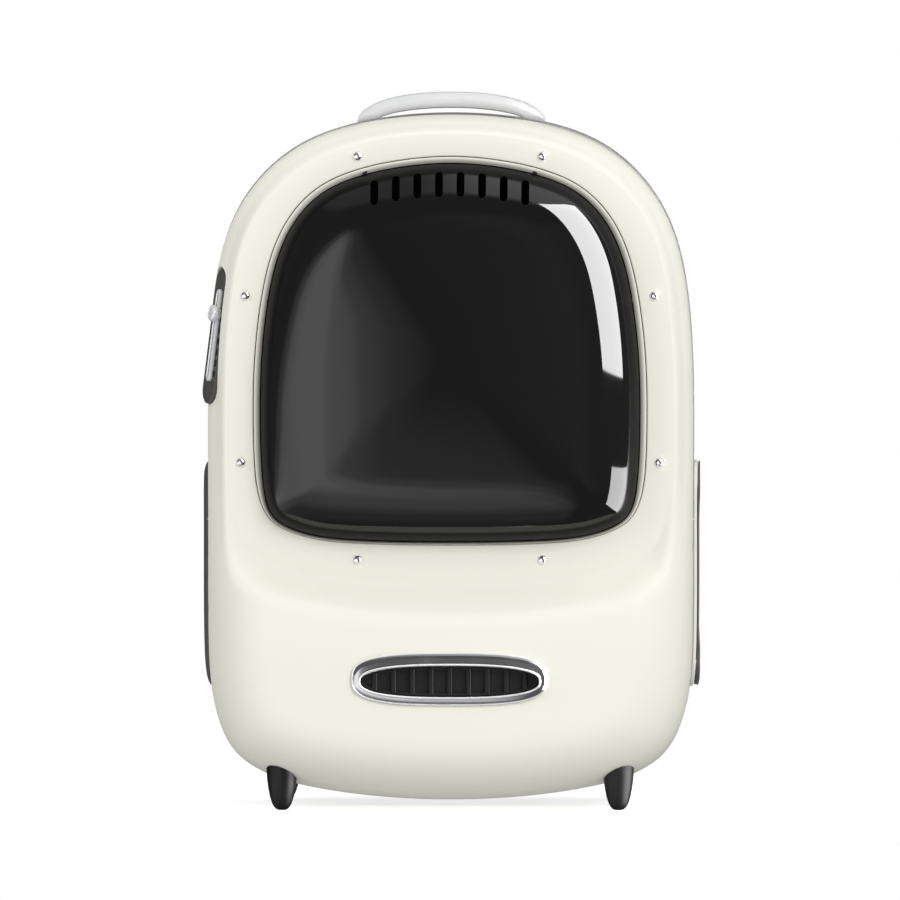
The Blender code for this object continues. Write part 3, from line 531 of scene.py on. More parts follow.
def plain(name, colour, roughness, metallic=0.0, **sockets):
    mat = bpy.data.materials.new(name)
    mat.use_nodes = True
    shader = mat.node_tree.nodes["Principled BSDF"]
    shader.inputs["Base Color"].default_value = (*colour, 1)
    shader.inputs["Roughness"].default_value = roughness
    shader.inputs["Metallic"].default_value = metallic
    for key, value in sockets.items():
        shader.inputs[key.replace("_", " ")].default_value = value
    mat.diffuse_color = (*colour, 1)
    return mat


def node(mat, kind, **inputs):
    made = mat.node_tree.nodes.new(kind)
    for key, value in inputs.items():
        made.inputs[key.replace("_", " ")].default_value = value
    return made


def link(mat, out, into):
    mat.node_tree.links.new(out, into)


def shader_input(mat, name):
    return mat.node_tree.nodes["Principled BSDF"].inputs[name]


def coordinates(mat, kind="Object"):
    return node(mat, "ShaderNodeTexCoord").outputs[kind]


def split_axes(tree, vector):
    split = tree.nodes.new("ShaderNodeSeparateXYZ")
    tree.links.new(vector, split.inputs["Vector"])
    return split.outputs


def math_node(tree, operation, first, second=0.0, third=0.0):
    made = tree.nodes.new("ShaderNodeMath")
    made.operation = operation
    for socket, value in zip(made.inputs, (first, second, third)):
        if isinstance(value, (int, float)):
            socket.default_value = value
        else:
            tree.links.new(value, socket)
    return made.outputs[0]


def noise(mat, where, scale, detail):
    made = node(mat, "ShaderNodeTexNoise", Scale=scale, Detail=detail)
    link(mat, where, made.inputs["Vector"])
    return made.outputs["Fac"]


def two_colours(mat, value, low, low_colour, high, high_colour):
    """Base colour that goes from one colour to another as a value rises."""
    ramp = node(mat, "ShaderNodeValToRGB")
    for element, place, colour in zip(ramp.color_ramp.elements, (low, high), (low_colour, high_colour)):
        element.position = place
        element.color = (*colour, 1)
    link(mat, value, ramp.inputs["Fac"])
    link(mat, ramp.outputs["Color"], shader_input(mat, "Base Color"))
    return ramp.outputs["Color"]


def vary_colour(mat, where, colour, darker, scale):
    """Soft change of colour from place to place."""
    return two_colours(mat, noise(mat, where, scale, 4.0), 0.35, darker, 0.7, colour)


def map_range(mat, value, **limits):
    made = node(mat, "ShaderNodeMapRange", **limits)
    link(mat, value, made.inputs["Value"])
    return made.outputs["Result"]


def vary_roughness(mat, where, low, high, scale):
    spread = map_range(mat, noise(mat, where, scale, 5.0), From_Min=0.3, From_Max=0.7,
                       To_Min=low, To_Max=high)
    link(mat, spread, shader_input(mat, "Roughness"))


def bump(mat, height, strength, distance):
    made = node(mat, "ShaderNodeBump", Strength=strength, Distance=distance)
    link(mat, height, made.inputs["Height"])
    link(mat, made.outputs["Normal"], shader_input(mat, "Normal"))


def moulded(name, colour, darker, roughness, grain=900.0, **sockets):
    """Moulded plastic or rubber with a fine grain."""
    mat = plain(name, colour, roughness, **sockets)
    where = coordinates(mat)
    vary_colour(mat, where, colour, darker, 22.0)
    vary_roughness(mat, where, roughness * 0.85, roughness * 1.2, 60.0)
    bump(mat, noise(mat, where, grain, 2.0), 0.35, 0.00004)
    return mat


def metal(name, colour, roughness, metallic=1.0):
    """Polished or brushed metal with hair-fine scratches."""
    mat = plain(name, colour, roughness, metallic)
    where = coordinates(mat)
    vary_roughness(mat, where, roughness * 0.7, roughness * 1.5, 90.0)
    bump(mat, noise(mat, where, 500.0, 3.0), 0.05, 0.00002)
    return mat


def woven(name, colour, darker, pitch, axes="XZ", depth=0.00018, plane="Object"):
    """Woven cloth: two crossed waves, one for each thread direction."""
    mat = plain(name, colour, 0.85, Sheen_Weight=0.3, Sheen_Roughness=0.4)
    tree = mat.node_tree
    where = coordinates(mat, plane)
    sides = split_axes(tree, where)
    turns = 2 * math.pi / (pitch * MM)
    waves = [math_node(tree, "SINE", math_node(tree, "MULTIPLY", sides[axis], turns)) for axis in axes]
    cross = math_node(tree, "MULTIPLY", *waves)
    bump(mat, math_node(tree, "ADD", cross, noise(mat, where, 1400.0, 3.0)), 0.6, depth)
    cloth = vary_colour(mat, where, colour, darker, 35.0)
    tint = node(mat, "ShaderNodeMix")
    tint.data_type = "RGBA"
    share = map_range(mat, cross, From_Min=-1.0, From_Max=1.0, To_Min=0.0, To_Max=0.55)
    link(mat, share, tint.inputs["Factor"])
    link(mat, cloth, tint.inputs["A"])
    tint.inputs["B"].default_value = (*[c * 0.45 for c in colour], 1)
    link(mat, tint.outputs["Result"], shader_input(mat, "Base Color"))
    return mat


def spacer_mesh(name, colour, pitch):
    """Open-hole spacer mesh: a net of small dark holes, the same all through its depth."""
    mat = plain(name, colour, 0.95, Sheen_Weight=0.35, Sheen_Roughness=0.5)
    flat = node(mat, "ShaderNodeVectorMath")
    flat.operation = "MULTIPLY"
    flat.inputs[1].default_value = (1, 0, 1)
    link(mat, coordinates(mat), flat.inputs[0])
    cells = node(mat, "ShaderNodeTexVoronoi", Scale=1 / (pitch * MM), Randomness=0.12)
    link(mat, flat.outputs[0], cells.inputs["Vector"])
    net = two_colours(mat, cells.outputs["Distance"], 0.22, [c * 0.15 for c in colour], 0.42, colour)
    bump(mat, net, 0.7, 0.0005)
    return mat


def ivory_plastic():
    mat = plain("ivory", (0.80, 0.79, 0.705), 0.36, Coat_Weight=0.03, Coat_Roughness=0.22,
                Specular_IOR_Level=0.28)
    where = coordinates(mat)
    vary_colour(mat, where, (0.812, 0.802, 0.716), (0.806, 0.796, 0.709), 5.0)
    vary_roughness(mat, where, 0.34, 0.38, 12.0)
    bump(mat, noise(mat, where, 1300.0, 2.0), 0.06, 0.00002)
    return mat


def smoked_plastic():
    """Glossy smoked dome whose steep outer edge is made matt and barely reflective: a painted dark band in
    place of the dark reflections on the dome's steep shoulders.
    """
    mat = plain("smoke", (0.004, 0.004, 0.0042), 0.035)
    where = coordinates(mat)
    depth = split_axes(mat.node_tree, where)["Y"]
    # Towards the back the shoulder turns matt and stops reflecting: a painted dark band standing in for the
    # dark reflection on the steep shoulder.
    for socket, inner, outer in (("Specular IOR Level", 0.5, 0.06), ("Roughness", 0.035, 0.4)):
        blend = map_range(mat, depth, From_Min=-0.1282, From_Max=-0.1262, To_Min=inner, To_Max=outer)
        link(mat, blend, shader_input(mat, socket))
    bump(mat, noise(mat, where, 18.0, 1.0), 0.03, 0.00003)
    return mat


MATERIALS = {}


def make_materials():
    made = [
        ivory_plastic(),
        smoked_plastic(),
        metal("chrome", (0.86, 0.86, 0.87), 0.07),
        metal("dark_chrome", (0.46, 0.46, 0.47), 0.13),
        # Chrome made part matt white so it looks bright whatever it mirrors: a painted highlight.
        metal("chrome_painted_bright", (0.92, 0.92, 0.93), 0.2, metallic=0.35),
        metal("steel", (0.52, 0.52, 0.53), 0.28),
        moulded("black_plastic", (0.010, 0.010, 0.0104), (0.007, 0.007, 0.0073), 0.45,
                Specular_IOR_Level=0.22),
        moulded("grey_plastic", (0.075, 0.075, 0.072), (0.055, 0.055, 0.053), 0.5),
        moulded("silver_grey", (0.66, 0.664, 0.672), (0.62, 0.624, 0.632), 0.38, grain=1500.0),
        moulded("rubber", (0.006, 0.006, 0.006), (0.004, 0.004, 0.004), 0.42, Specular_IOR_Level=0.25),
        moulded("diffuser", (0.86, 0.86, 0.82), (0.80, 0.80, 0.77), 0.5, grain=400.0),
        moulded("board_green", (0.02, 0.15, 0.06), (0.015, 0.11, 0.045), 0.4),
        woven("grey_fabric", (0.25, 0.25, 0.245), (0.20, 0.20, 0.195), 0.9, "XY", plane="UV"),
        woven("door_fabric", (0.25, 0.25, 0.245), (0.20, 0.20, 0.195), 0.9),
        woven("mat_fabric", (0.30, 0.295, 0.28), (0.24, 0.235, 0.22), 1.6, "XY", depth=0.0003),
        spacer_mesh("dark_mesh", (0.065, 0.065, 0.068), 2.6),
        woven("webbing", (0.035, 0.035, 0.038), (0.022, 0.022, 0.024), 1.4, depth=0.0003),
        woven("binding", (0.05, 0.05, 0.052), (0.035, 0.035, 0.037), 0.8),
        moulded("thread", (0.42, 0.42, 0.41), (0.34, 0.34, 0.33), 0.8, grain=2500.0),
        moulded("tape_plain", (0.30, 0.30, 0.295), (0.24, 0.24, 0.235), 0.8, grain=2200.0),
    ]
    MATERIALS.update({mat.name.split(".")[0]: mat for mat in made})


# ---------------------------------------------------------------- camera and light

def aim(obj, target):
    direction = Vector(target) - obj.location
    obj.rotation_euler = direction.to_track_quat("-Z", "Y").to_euler()


def make_camera():
    low, high = (Vector(c) for c in CAD_BOX)
    azimuth = math.radians(0.6)
    elevation = math.radians(1.8)
    distance = 20.0
    width_in_view = 0.5735
    target = Vector((-0.0006, low.y * 0.4, (low.z + high.z) / 2))
    data = bpy.data.cameras.new("camera")
    data.lens = data.sensor_width * distance / width_in_view
    data.clip_end = 100
    camera = bpy.data.objects.new("camera", data)
    away = Vector((math.sin(azimuth) * math.cos(elevation), -math.cos(azimuth) * math.cos(elevation),
                   math.sin(elevation)))
    camera.location = target + away * distance
    bpy.context.scene.collection.objects.link(camera)
    aim(camera, target)
    bpy.context.scene.camera = camera


def area_light(name, place, target, size, power, glossy=True, diffuse=True):
    data = bpy.data.lights.new(name, "AREA")
    data.shape = "RECTANGLE"
    data.size, data.size_y = size
    data.energy = power
    light = bpy.data.objects.new(name, data)
    light.location = Vector(place)
    light.visible_camera = False
    light.visible_glossy = glossy
    light.visible_diffuse = diffuse
    bpy.context.scene.collection.objects.link(light)
    aim(light, target)


SOFTBOXES = [("softbox_right", (0.955, -0.624, 0.87), (0.10, -0.13, 0.31), (0.98, 1.34), 76),
             ("softbox_low", (0.646, -0.223, -0.072), (0.12, -0.13, 0.20), (0.6, 0.5), 11)]


def make_lights():
    """Broad lights that glossy surfaces don't mirror, and two soft boxes that only they see."""
    for name, place, power in (("left", (-2.46, -1.25, 1.50), 22), ("front", (1.35, -2.45, 1.55), 46),
                               ("right", (1.75, -0.91, 2.53), 12), ("bounce", (0, -2.03, -2.07), 8.5),
                               ("rear_left", (-1.6, 2.4, 1.6), 30), ("rear_right", (1.8, 2.3, 1.4), 22)):
        area_light(name, place, (0, -0.1, 0.23), (1.6, 1.6), power, glossy=False)
    for name, place, target, size, power in SOFTBOXES:
        area_light(name, place, target, size, power, diffuse=False)


def keep_softboxes_off_ivory():
    """The soft boxes are for the dome and the metal; at a slant they would burn out the ivory plastic."""
    ivory = [obj for obj in bpy.context.scene.objects
             if obj.type == "MESH" and obj.data.materials and obj.data.materials[0] == MATERIALS["ivory"]]
    for name, *_ in SOFTBOXES:
        group = bpy.data.collections.new(f"{name}_off")
        bpy.data.objects[name].light_linking.receiver_collection = group
        for obj in ivory:
            group.objects.link(obj)
        for entry in group.collection_objects:
            entry.light_linking.link_state = "EXCLUDE"


def make_floor():
    """Pale round floor that glows slightly and is left out of reflections."""
    radius = 0.62
    turns = np.linspace(0, 2 * math.pi, 96, endpoint=False)
    verts = [(radius * math.cos(t), radius * math.sin(t), 0) for t in turns]
    mesh = bpy.data.meshes.new("floor")
    mesh.from_pydata(verts, [], [tuple(range(len(verts)))])
    floor = bpy.data.objects.new("floor", mesh)
    bpy.context.scene.collection.objects.link(floor)
    floor.visible_glossy = False
    floor.visible_diffuse = False
    floor.visible_shadow = False
    mesh.materials.append(plain("floor", (0.45, 0.45, 0.45), 0.9, Emission_Color=(1, 1, 1, 1),
                                Emission_Strength=0.72))


def ramp_node(tree, value, stops, top=1.0):
    """A curve through (value, strength) stops, eased between them; top is at or above the strongest."""
    low, high = stops[0][0], stops[-1][0]
    share = math_node(tree, "DIVIDE", math_node(tree, "SUBTRACT", value, low), high - low)
    made = tree.nodes.new("ShaderNodeValToRGB")
    made.color_ramp.interpolation = "EASE"
    elements = made.color_ramp.elements
    while len(elements) < len(stops):
        elements.new(0.5)
    for element, (place, strength) in zip(elements, stops):
        element.position = (place - low) / (high - low)
        element.color = (strength / top,) * 3 + (1,)
    tree.links.new(share, made.inputs["Fac"])
    return math_node(tree, "MULTIPLY", made.outputs["Color"], top)


def reflected_studio(tree):
    """What glossy surfaces reflect: a dark room, a tall soft card on the left and one overhead."""
    x, y, z = split_axes(tree, tree.nodes.new("ShaderNodeTexCoord").outputs["Generated"])
    degrees = 180 / math.pi
    azimuth = math_node(tree, "MULTIPLY", math_node(tree, "ARCTAN2", x, math_node(tree, "MULTIPLY", y, -1.0)),
                        degrees)
    rise = math_node(tree, "MULTIPLY", math_node(tree, "ARCSINE", z), degrees)
    slanted = math_node(tree, "MULTIPLY_ADD", rise, 0.4, azimuth)
    card = ramp_node(tree, slanted, [(-60, 1.6), (-30, 1.75), (-13, 1.75), (-9.5, 1.35), (-7.2, 0.72),
                                     (-5, 0.4), (-2, 0.17), (3, 0.2), (9, 0.26), (30, 0.2)], 2.0)
    steep = math_node(tree, "MULTIPLY_ADD", rise, -2.5, azimuth)
    edge = ramp_node(tree, steep, [(-100, 0.1), (-80, 0.12), (-69, 0.35), (-56, 0.85), (-45, 1.0)])
    foot = ramp_node(tree, rise, [(-90, 0.06), (-60, 0.2), (-35, 0.5), (-14, 1.0)])
    left = math_node(tree, "MULTIPLY", math_node(tree, "MULTIPLY", card, edge), foot)
    high = ramp_node(tree, rise, [(46, 0.0), (56, 1.0)])
    side = ramp_node(tree, x, [(-0.6, 0.2), (-0.15, 0.25), (0.15, 1.2), (0.8, 1.3)], 2.0)
    near = ramp_node(tree, y, [(0.25, 1.0), (0.42, 0.0)])
    overhead = math_node(tree, "MULTIPLY", math_node(tree, "MULTIPLY", high, side), near)
    ahead = ramp_node(tree, y, [(0.1, 1.0), (0.45, 0.3)])
    room = math_node(tree, "MULTIPLY", math_node(tree, "MAXIMUM", left, 0.16), ahead)
    return math_node(tree, "ADD", room, overhead)


def make_world():
    """White behind the object, even light on matt surfaces, and the studio above in glossy ones."""
    world = bpy.data.worlds.new("studio")
    world.use_nodes = True
    tree = world.node_tree
    room = tree.nodes["Background"]
    seen = tree.nodes.new("ShaderNodeBackground")
    mirrored = tree.nodes.new("ShaderNodeBackground")
    for shader in (room, seen, mirrored):
        shader.inputs["Color"].default_value = (1, 1, 1, 1)
    room.inputs["Strength"].default_value = 0.59
    seen.inputs["Strength"].default_value = 1.0
    tree.links.new(reflected_studio(tree), mirrored.inputs["Strength"])
    path = tree.nodes.new("ShaderNodeLightPath")
    result = room.outputs[0]
    for ray, shader in (("Is Glossy Ray", mirrored), ("Is Camera Ray", seen)):
        mix = tree.nodes.new("ShaderNodeMixShader")
        tree.links.new(path.outputs[ray], mix.inputs["Fac"])
        tree.links.new(result, mix.inputs[1])
        tree.links.new(shader.outputs[0], mix.inputs[2])
        result = mix.outputs[0]
    tree.links.new(result, tree.nodes["World Output"].inputs["Surface"])
    bpy.context.scene.world = world
    bpy.context.scene.view_settings.view_transform = "Standard"


# ---------------------------------------------------------------- front shell

def front_surface(grow=0.0, steps=34):
    """Rows of the front shell's outer surface, from the window opening to the parting line."""
    outline = offset_curve(SHELL, grow)
    outer = ring(outline, ANGLES)
    crease = ring(offset_curve(CREASE, grow), ANGLES)
    lip = ring(LIP, ANGLES)
    inward = unit(crease - lip)
    rows = [at_depth(lip + inward * reach, FACE_Y + back)
            for reach, back in ((0, 0.9), (0.12, 0.35), (0.45, 0.06), (0.9, 0))]
    rows += [at_depth(lip + (crease - lip) * share, FACE_Y) for share in (0.35, 0.7, 0.84)]
    rows = [row - np.array([0, grow, 0]) for row in rows]
    width = np.linalg.norm(outer - crease, axis=1)
    for step in 0.5 - 0.5 * np.cos(math.pi * np.linspace(0, 1, steps)):
        points = crease + (outer - crease) * step
        depth = edge_distance(points, outline) if step < 1 else np.zeros(len(points))
        belly = 1 - smoothstep(points[:, 1], *BELLY_Z)
        crown = BELLY_CROWN * (1 - (points[:, 0] / 154.2) ** 2)
        front = UPPER_Y + (BELLY_Y - UPPER_Y) * belly - crown
        turn = 1 - np.minimum(depth, EDGE_RADIUS) / EDGE_RADIUS
        pillow = front + (RIM_Y - front) * (1 - np.sqrt(np.maximum(1 - turn**2, 0)))
        blend = smoothstep(width * step, 0, np.minimum(26, 0.6 * width))
        rows.append(at_depth(points, FACE_Y + 0.3 + (pillow - FACE_Y - 0.3) * blend - grow))
    return rows + [at_depth(outer, y) for y in (-78, -70, -62, -54, -47, -42, PARTING_Y)]


def inner_rows(rows, wall, flat, probe):
    """A grid of rows and the rows a wall's thickness behind it; the first few lie flat.

    Row `probe` is one that faces the front.
    """
    grid = np.array(rows)
    normal = np.cross(np.roll(grid, -1, 1) - np.roll(grid, 1, 1), np.gradient(grid, axis=0))
    normal /= np.maximum(np.linalg.norm(normal, axis=2), 1e-9)[:, :, None]
    if normal[probe, 0, 1] > 0:
        normal = -normal
    normal[:flat] = (0, -1, 0)
    return grid, grid - normal * wall


def make_front_shell():
    rows = front_surface()
    face_rows = 7
    grid, inner = inner_rows(rows, WALL, face_rows, len(rows) // 3)
    inner[-1, :, 1] = PARTING_Y
    inner[face_rows - 1, :, [0, 2]] = grid[face_rows - 1, :, [0, 2]]
    first = at_depth(rows[0][:, [0, 2]], FACE_Y + WALL)
    back = [first] + [inner[k] for k in range(4, len(rows) - 1, 2)] + [inner[-1]]
    shell = new_object("front_shell_skin", loft(rows + back[::-1], wrap=True), "ivory", 50)
    opening = prism(slot_outline(VENT_LENGTH + 2 * GAP, VENT_WIDTH + 2 * GAP), -12, 16, "Z")
    cut(shell, join([prism(bezel_mix(0.62), BELLY_Y - 20, BELLY_Y + 20),
                     placed(opening, VENT_CENTRE, VENT_TURN)]), folds=True)
    settle(shell, "carrier", ["front_shell"])


def bezel_mix(share):
    """Outline part of the way from the front vent's grille to the edge of its rim."""
    low, high = span_of("front_vent_bezel")
    outer = oval(high.x - low.x, high.z - low.z, (low.z + high.z) / 2, 3.0)
    low, high = span_of("front_vent_grille")
    inner = oval(high.x - low.x + 2 * GAP, high.z - low.z + 2 * GAP, (low.z + high.z) / 2, 2.5)
    return inner + (outer - inner) * share


# ---------------------------------------------------------------- window

def dome_rise(inward, step):
    height = FLANGE_Y - span_of("window_lens")[0].y - DOME_CROWN
    turn = 1 - np.minimum(inward, DOME_SHOULDER) / DOME_SHOULDER
    rise = height * (1 - turn**2.4) ** (1 / 2.4)
    return rise + DOME_CROWN * (1 - (1 - step) ** 2)


def make_lens():
    edge = ring(LENS, LENS_ANGLES)
    centre = np.array([DOME_CENTRE])
    flange = (FLANGE_WIDTH, 8, 2, 0.6)
    rows = [at_depth(ring(offset_curve(LENS, width), LENS_ANGLES), FLANGE_Y) for width in flange]
    near_edge = [0, 0.003, 0.008, 0.015, 0.025, 0.038, 0.055]
    for step in np.concatenate([near_edge, np.linspace(0.075, 0.985, 34)]):
        points = edge + (centre - edge) * step
        inward = edge_distance(points, LENS) if step > 0 else np.zeros(len(edge))
        rows.append(at_depth(points, FLANGE_Y - dome_rise(inward, step)))
    inner = inner_rows(rows, LENS_WALL, len(flange), -1)[1]
    inner[:, :, 1] = np.minimum(inner[:, :, 1], FLANGE_Y + LENS_WALL)
    lens = new_object("window_dome", loft(list(inner)[::-1] + rows), "smoke", 50)
    slots = []
    for k in range(SLOT_COUNT):
        x = SLOT_PITCH * (k - (SLOT_COUNT - 1) / 2)
        top = 406.3 - 5.3 * (x / (SLOT_PITCH * 3.5)) ** 2
        slots.append(prism(slot_outline(15.5, 5.0, 8, (x, top - 7.75)), -153, FLANGE_Y + 0.5))
    cut(lens, join(slots))
    settle(lens, "carrier", ["window_lens"])


def make_window_trim():
    inner = ring(offset_curve(LENS, 0.45), LENS_ANGLES)
    outer = ring(LIP, LENS_ANGLES)
    outer = outer + (inner - outer) * 0.11
    front = FLANGE_Y - GAP - FACE_Y
    section = [(0, front), (1, front), (1, 0.9), (0.95, 0.6), (0.85, 0.5), (0.6, 0.75), (0.3, 1.7),
               (0.1, 2.7), (0, 3.1)]
    rows = [at_depth(inner + (outer - inner) * share, FACE_Y + back) for share, back in section]
    add_piece("window_trim", loft(rows, wrap=True), "ivory", "carrier", ["window_trim_ring"], angle=50)


def make_screws():
    head = [(0, -1.95), (0.9, -1.88), (1.7, -1.6), (2.35, -1.1), (2.75, -0.45), (2.9, -0.12), (2.9, 0),
            (1.4, 0), (1.4, 7.9), (0, 7.9)]
    for number in range(1, 9):
        low, high = span_of(f"window_screw_{number}")
        centre = ((low.x + high.x) / 2, low.y + 1.9, (low.z + high.z) / 2)
        add_piece(f"screw_{number}", placed(lathe(head, 40, "Y"), centre), "chrome", "carrier",
                  [f"window_screw_{number}"], angle=30)


def make_notches():
    """Small rubber tabs that show in the window's lip beside the screws."""
    tab = stack([(0, 1.5), (0, -0.35), (0.15, -0.5)], (3.0, 1.5), 0.5, axis="Y", least=0.5, corner=4)
    parts = []
    for x, z in ((54, 405.4), (115.4, 324.0), (116.2, 221.4)):
        for side in (-1, 1):
            bearing = math.atan2(side * x, z - RAY_CENTRE[1])
            out = Vector((math.sin(bearing), 0, math.cos(bearing)))
            along = Vector((math.cos(bearing), 0, -math.sin(bearing)))
            turn = Matrix((along, BACK, out)).transposed()
            parts.append(placed(tab, (side * x, FACE_Y + 0.9, z), turn))
    add_piece("lip_tabs", join(parts), "rubber")


# ---------------------------------------------------------------- front vent

def make_front_vent():
    high = span_of("front_vent_bezel")[1]
    face = BELLY_Y - BELLY_CROWN - GAP
    section = [(0, face - high.y), (0, 1.4), (0.03, 2.1), (0.09, 2.6), (0.16, 2.75), (0.23, 2.6), (0.28, 2.3),
               (0.34, 2.2), (0.5, 2.15), (0.68, 1.85), (0.82, 1.35), (0.89, 1.0), (0.91, 1.1), (0.95, 1.15),
               (0.985, 0.9), (1.0, 0.4), (1.0, 0), (0.5, 0), (0.5, face - high.y)]
    rows = [at_depth(bezel_mix(share), face - rise) for share, rise in section]
    add_piece("vent_bezel", loft(rows, wrap=True), "dark_chrome", "carrier", ["front_vent_bezel"], angle=40)
    # Thin bright rings on the bezel's crest and outer edge: painted highlights where the dark chrome bezel
    # catches light.
    lines = [tube(at_depth(bezel_mix(share), face - rise), radius, 10, True)
             for share, rise, radius in ((0.985, 1.0, 0.4), (0.16, 2.6, 0.62))]
    add_piece("vent_bezel_highlight_rings", join(lines), "chrome_painted_bright")
    low, high = span_of("front_vent_grille")
    centre_z = (low.z + high.z) / 2
    wide, tall = high.x - low.x, high.z - low.z

    def inset_oval(inset):
        return oval(wide - inset, tall - inset, centre_z, 2.5, 96)

    outline, inside, back = inset_oval(0), inset_oval(3.2), inset_oval(3.0)
    rim = [at_depth(line, y) for line, y in
           ((outline, high.y), (outline, low.y + 0.6), (inside, low.y + 0.6), (inside, high.y))]
    parts = [loft(rim, wrap=True)]
    side = [(1.7, high.y - 1.4), (1.7, low.y + 1.0), (1.45, low.y + 0.45), (1.1, low.y + 0.2)]
    for k in range(RIB_COUNT):
        x = RIB_PITCH * (k - (RIB_COUNT - 1) / 2)
        half = (tall / 2 - 0.9) * (1 - (abs(x) / (wide / 2)) ** 2.5) ** 0.4
        rib = [(x - a, y) for a, y in side] + [(x + a, y) for a, y in side[::-1]]
        parts.append(prism(rib, centre_z - half, centre_z + half, "Z"))
    parts.append(loft([at_depth(back, high.y - 1.2), at_depth(back, high.y - 0.2)]))
    add_piece("vent_grille", join(parts), "black_plastic", "carrier", ["front_vent_grille"])


# ---------------------------------------------------------------- side vent

def side_vent_turn():
    """The side vent lies on the shell's slanted left side."""
    lean, facing = math.radians(7.2), math.radians(22)
    along = Vector((math.sin(lean), 0, math.cos(lean)))
    out = Vector((-math.cos(facing), -math.sin(facing), 0))
    out = (out - along * out.dot(along)).normalized()
    return Matrix((along.cross(out), along, out)).transposed()


VENT_TURN = side_vent_turn()


def make_side_vent():
    def slot(inset, length=VENT_LENGTH, width=VENT_WIDTH):
        return slot_outline(length - inset, width - inset)

    def on_vent(shape):
        return placed(shape, VENT_CENTRE, VENT_TURN)

    plate_rows = levels([(slot(0), -3), (slot(0), 0.5), (slot(1.2), 0.9), (slot(3.6), 0.9), (slot(4.6), 0),
                         (slot_outline(40, 2), 0)])
    plate = new_object("side_vent_frame", on_vent(loft(plate_rows)), "grey_plastic")
    holes = [prism(slot_outline(52, 2.6, 6), -6, 6, "Z")]
    for side in (-1, 1):
        for k in range(8):
            square = rounded_rectangle(4.2, 4.2, 1.2, (side * 5.8, 7 * (k - 3.5)), 4)
            holes.append(prism(square, -6, 6, "Z"))
    cut(plate, on_vent(join(holes)))
    settle(plate, "carrier", ["side_vent_bezel"])
    rail = [(54, 2.6, GAP), (59, 6.4, GAP), (59, 6.4, 1.6), (58.4, 5.8, 2.3), (57.2, 4.6, 2.6),
            (54.8, 3.2, 2.6), (54, 2.6, 2.2)]
    rail_rows = levels([(slot_outline(length, width), height) for length, width, height in rail])
    add_piece("side_vent_rail", on_vent(loft(rail_rows, wrap=True)), "chrome_painted_bright", "carrier",
              ["side_vent_track"])
    at = Vector(VENT_CENTRE) + VENT_TURN @ Vector((0, KNOB_RISE, 0))

    def flute(angle, radius, height):
        knurled = 0.8 < height < 5.0 and radius > 5
        return radius - (0.28 * (0.5 + 0.5 * math.cos(20 * angle)) if knurled else 0)

    profile = [(0, 0.4), (5.0, 0.4), (5.2, 0.9), (5.2, 4.9), (4.9, 5.4), (4.2, 5.9), (3.3, 6.1), (2.9, 5.8),
               (0, 5.75)]
    knob = new_object("side_vent_knob_turned", placed(lathe(profile, 160, "Z", flute), at, VENT_TURN),
                      "chrome_painted_bright")
    cut(knob, placed(box((-3.6, -9, -1), (3.6, 9, 2.95)), at, VENT_TURN))
    settle(knob, "vent_slider", ["side_vent_knob"])
    stem = lathe([(0, -3.2), (0.95, -3.2), (0.95, 3.4), (0, 3.4)], 20)
    add_piece("side_vent_stem", placed(stem, at, VENT_TURN), "steel", "vent_slider")


# ---------------------------------------------------------------- rear shell and seal

def rear_profile(count=40):
    """The rear shell's section as a smooth run of (inset, y)."""
    knots = np.array(REAR_SECTION, float)
    run = run_length(knots)
    where = np.linspace(0, run[-1], count)
    lines = [np.interp(where, run, knots[:, k]) for k in (0, 1)]
    kernel = np.array([1, 2, 3, 2, 1], float) / 9
    for line in lines:
        line[2:-2] = np.convolve(line, kernel, "valid")
    return list(zip(*lines))


def with_uv(obj, wrap_length):
    """Lay a UV map over a shell, in metres round it and along its depth."""
    layer = obj.data.uv_layers.new(name="cloth")
    co = np.array([v.co for v in obj.data.vertices])
    angle = np.arctan2(co[:, 0], co[:, 2] - RAY_CENTRE[1] * MM)
    along = angle / (2 * math.pi) * wrap_length * MM
    for poly in obj.data.polygons:
        values = [along[obj.data.loops[i].vertex_index] for i in poly.loop_indices]
        jump = max(values) - min(values) > wrap_length * MM / 2
        for i, value in zip(poly.loop_indices, values):
            if jump and value < 0:
                value += wrap_length * MM
            layer.data[i].uv = (value, co[obj.data.loops[i].vertex_index][1])


def make_rear_shell():
    turns = [2 * math.pi * k / 12 for k in range(12)]
    bead = [shell_ring(1.4 - 1.45 * math.cos(t), PARTING_Y + 1.65 + 1.25 * math.sin(t)) for t in turns]
    add_piece("parting_bead", loft(bead, wrap=True), "rubber", "carrier", ["parting_seal"])
    profile = rear_profile()
    inner = [(inset + WALL * 0.98, min(y, REAR_Y - WALL)) for inset, y in profile]
    rows = shell_rows(profile) + shell_rows(inner[::-2])
    shell = new_object("rear_shell_cloth", loft(rows, wrap=True), "grey_fabric", 60)
    with_uv(shell, 1270.0)
    low, high = span_of("pocket_tray")
    hole = rounded_rectangle(high.y - low.y + 2 * GAP, high.z - low.z + 2 * GAP, 10,
                             ((low.y + high.y) / 2, (low.z + high.z) / 2))
    cut(shell, join([prism(hole, -175, -130, "X"), prism(hole, 130, 175, "X")]))
    low, high = span_of("handle_cup")
    cup = rounded_rectangle(high.x - low.x + 2 * GAP, high.y - low.y + 2 * GAP, 12, (0, (low.y + high.y) / 2))
    cut(shell, prism(cup, 420, 460, "Z"))
    settle(shell, "carrier", ["rear_shell"])


def keep_run(path, wanted):
    """The longest run of a closed path where wanted is true, as an open path."""
    flags = [wanted(point) for point in path]
    start = next(i for i in range(len(path)) if flags[i] and not flags[i - 1])
    run = []
    for k in range(len(path)):
        i = (start + k) % len(path)
        if not flags[i]:
            break
        run.append(path[i])
    return np.array(run)


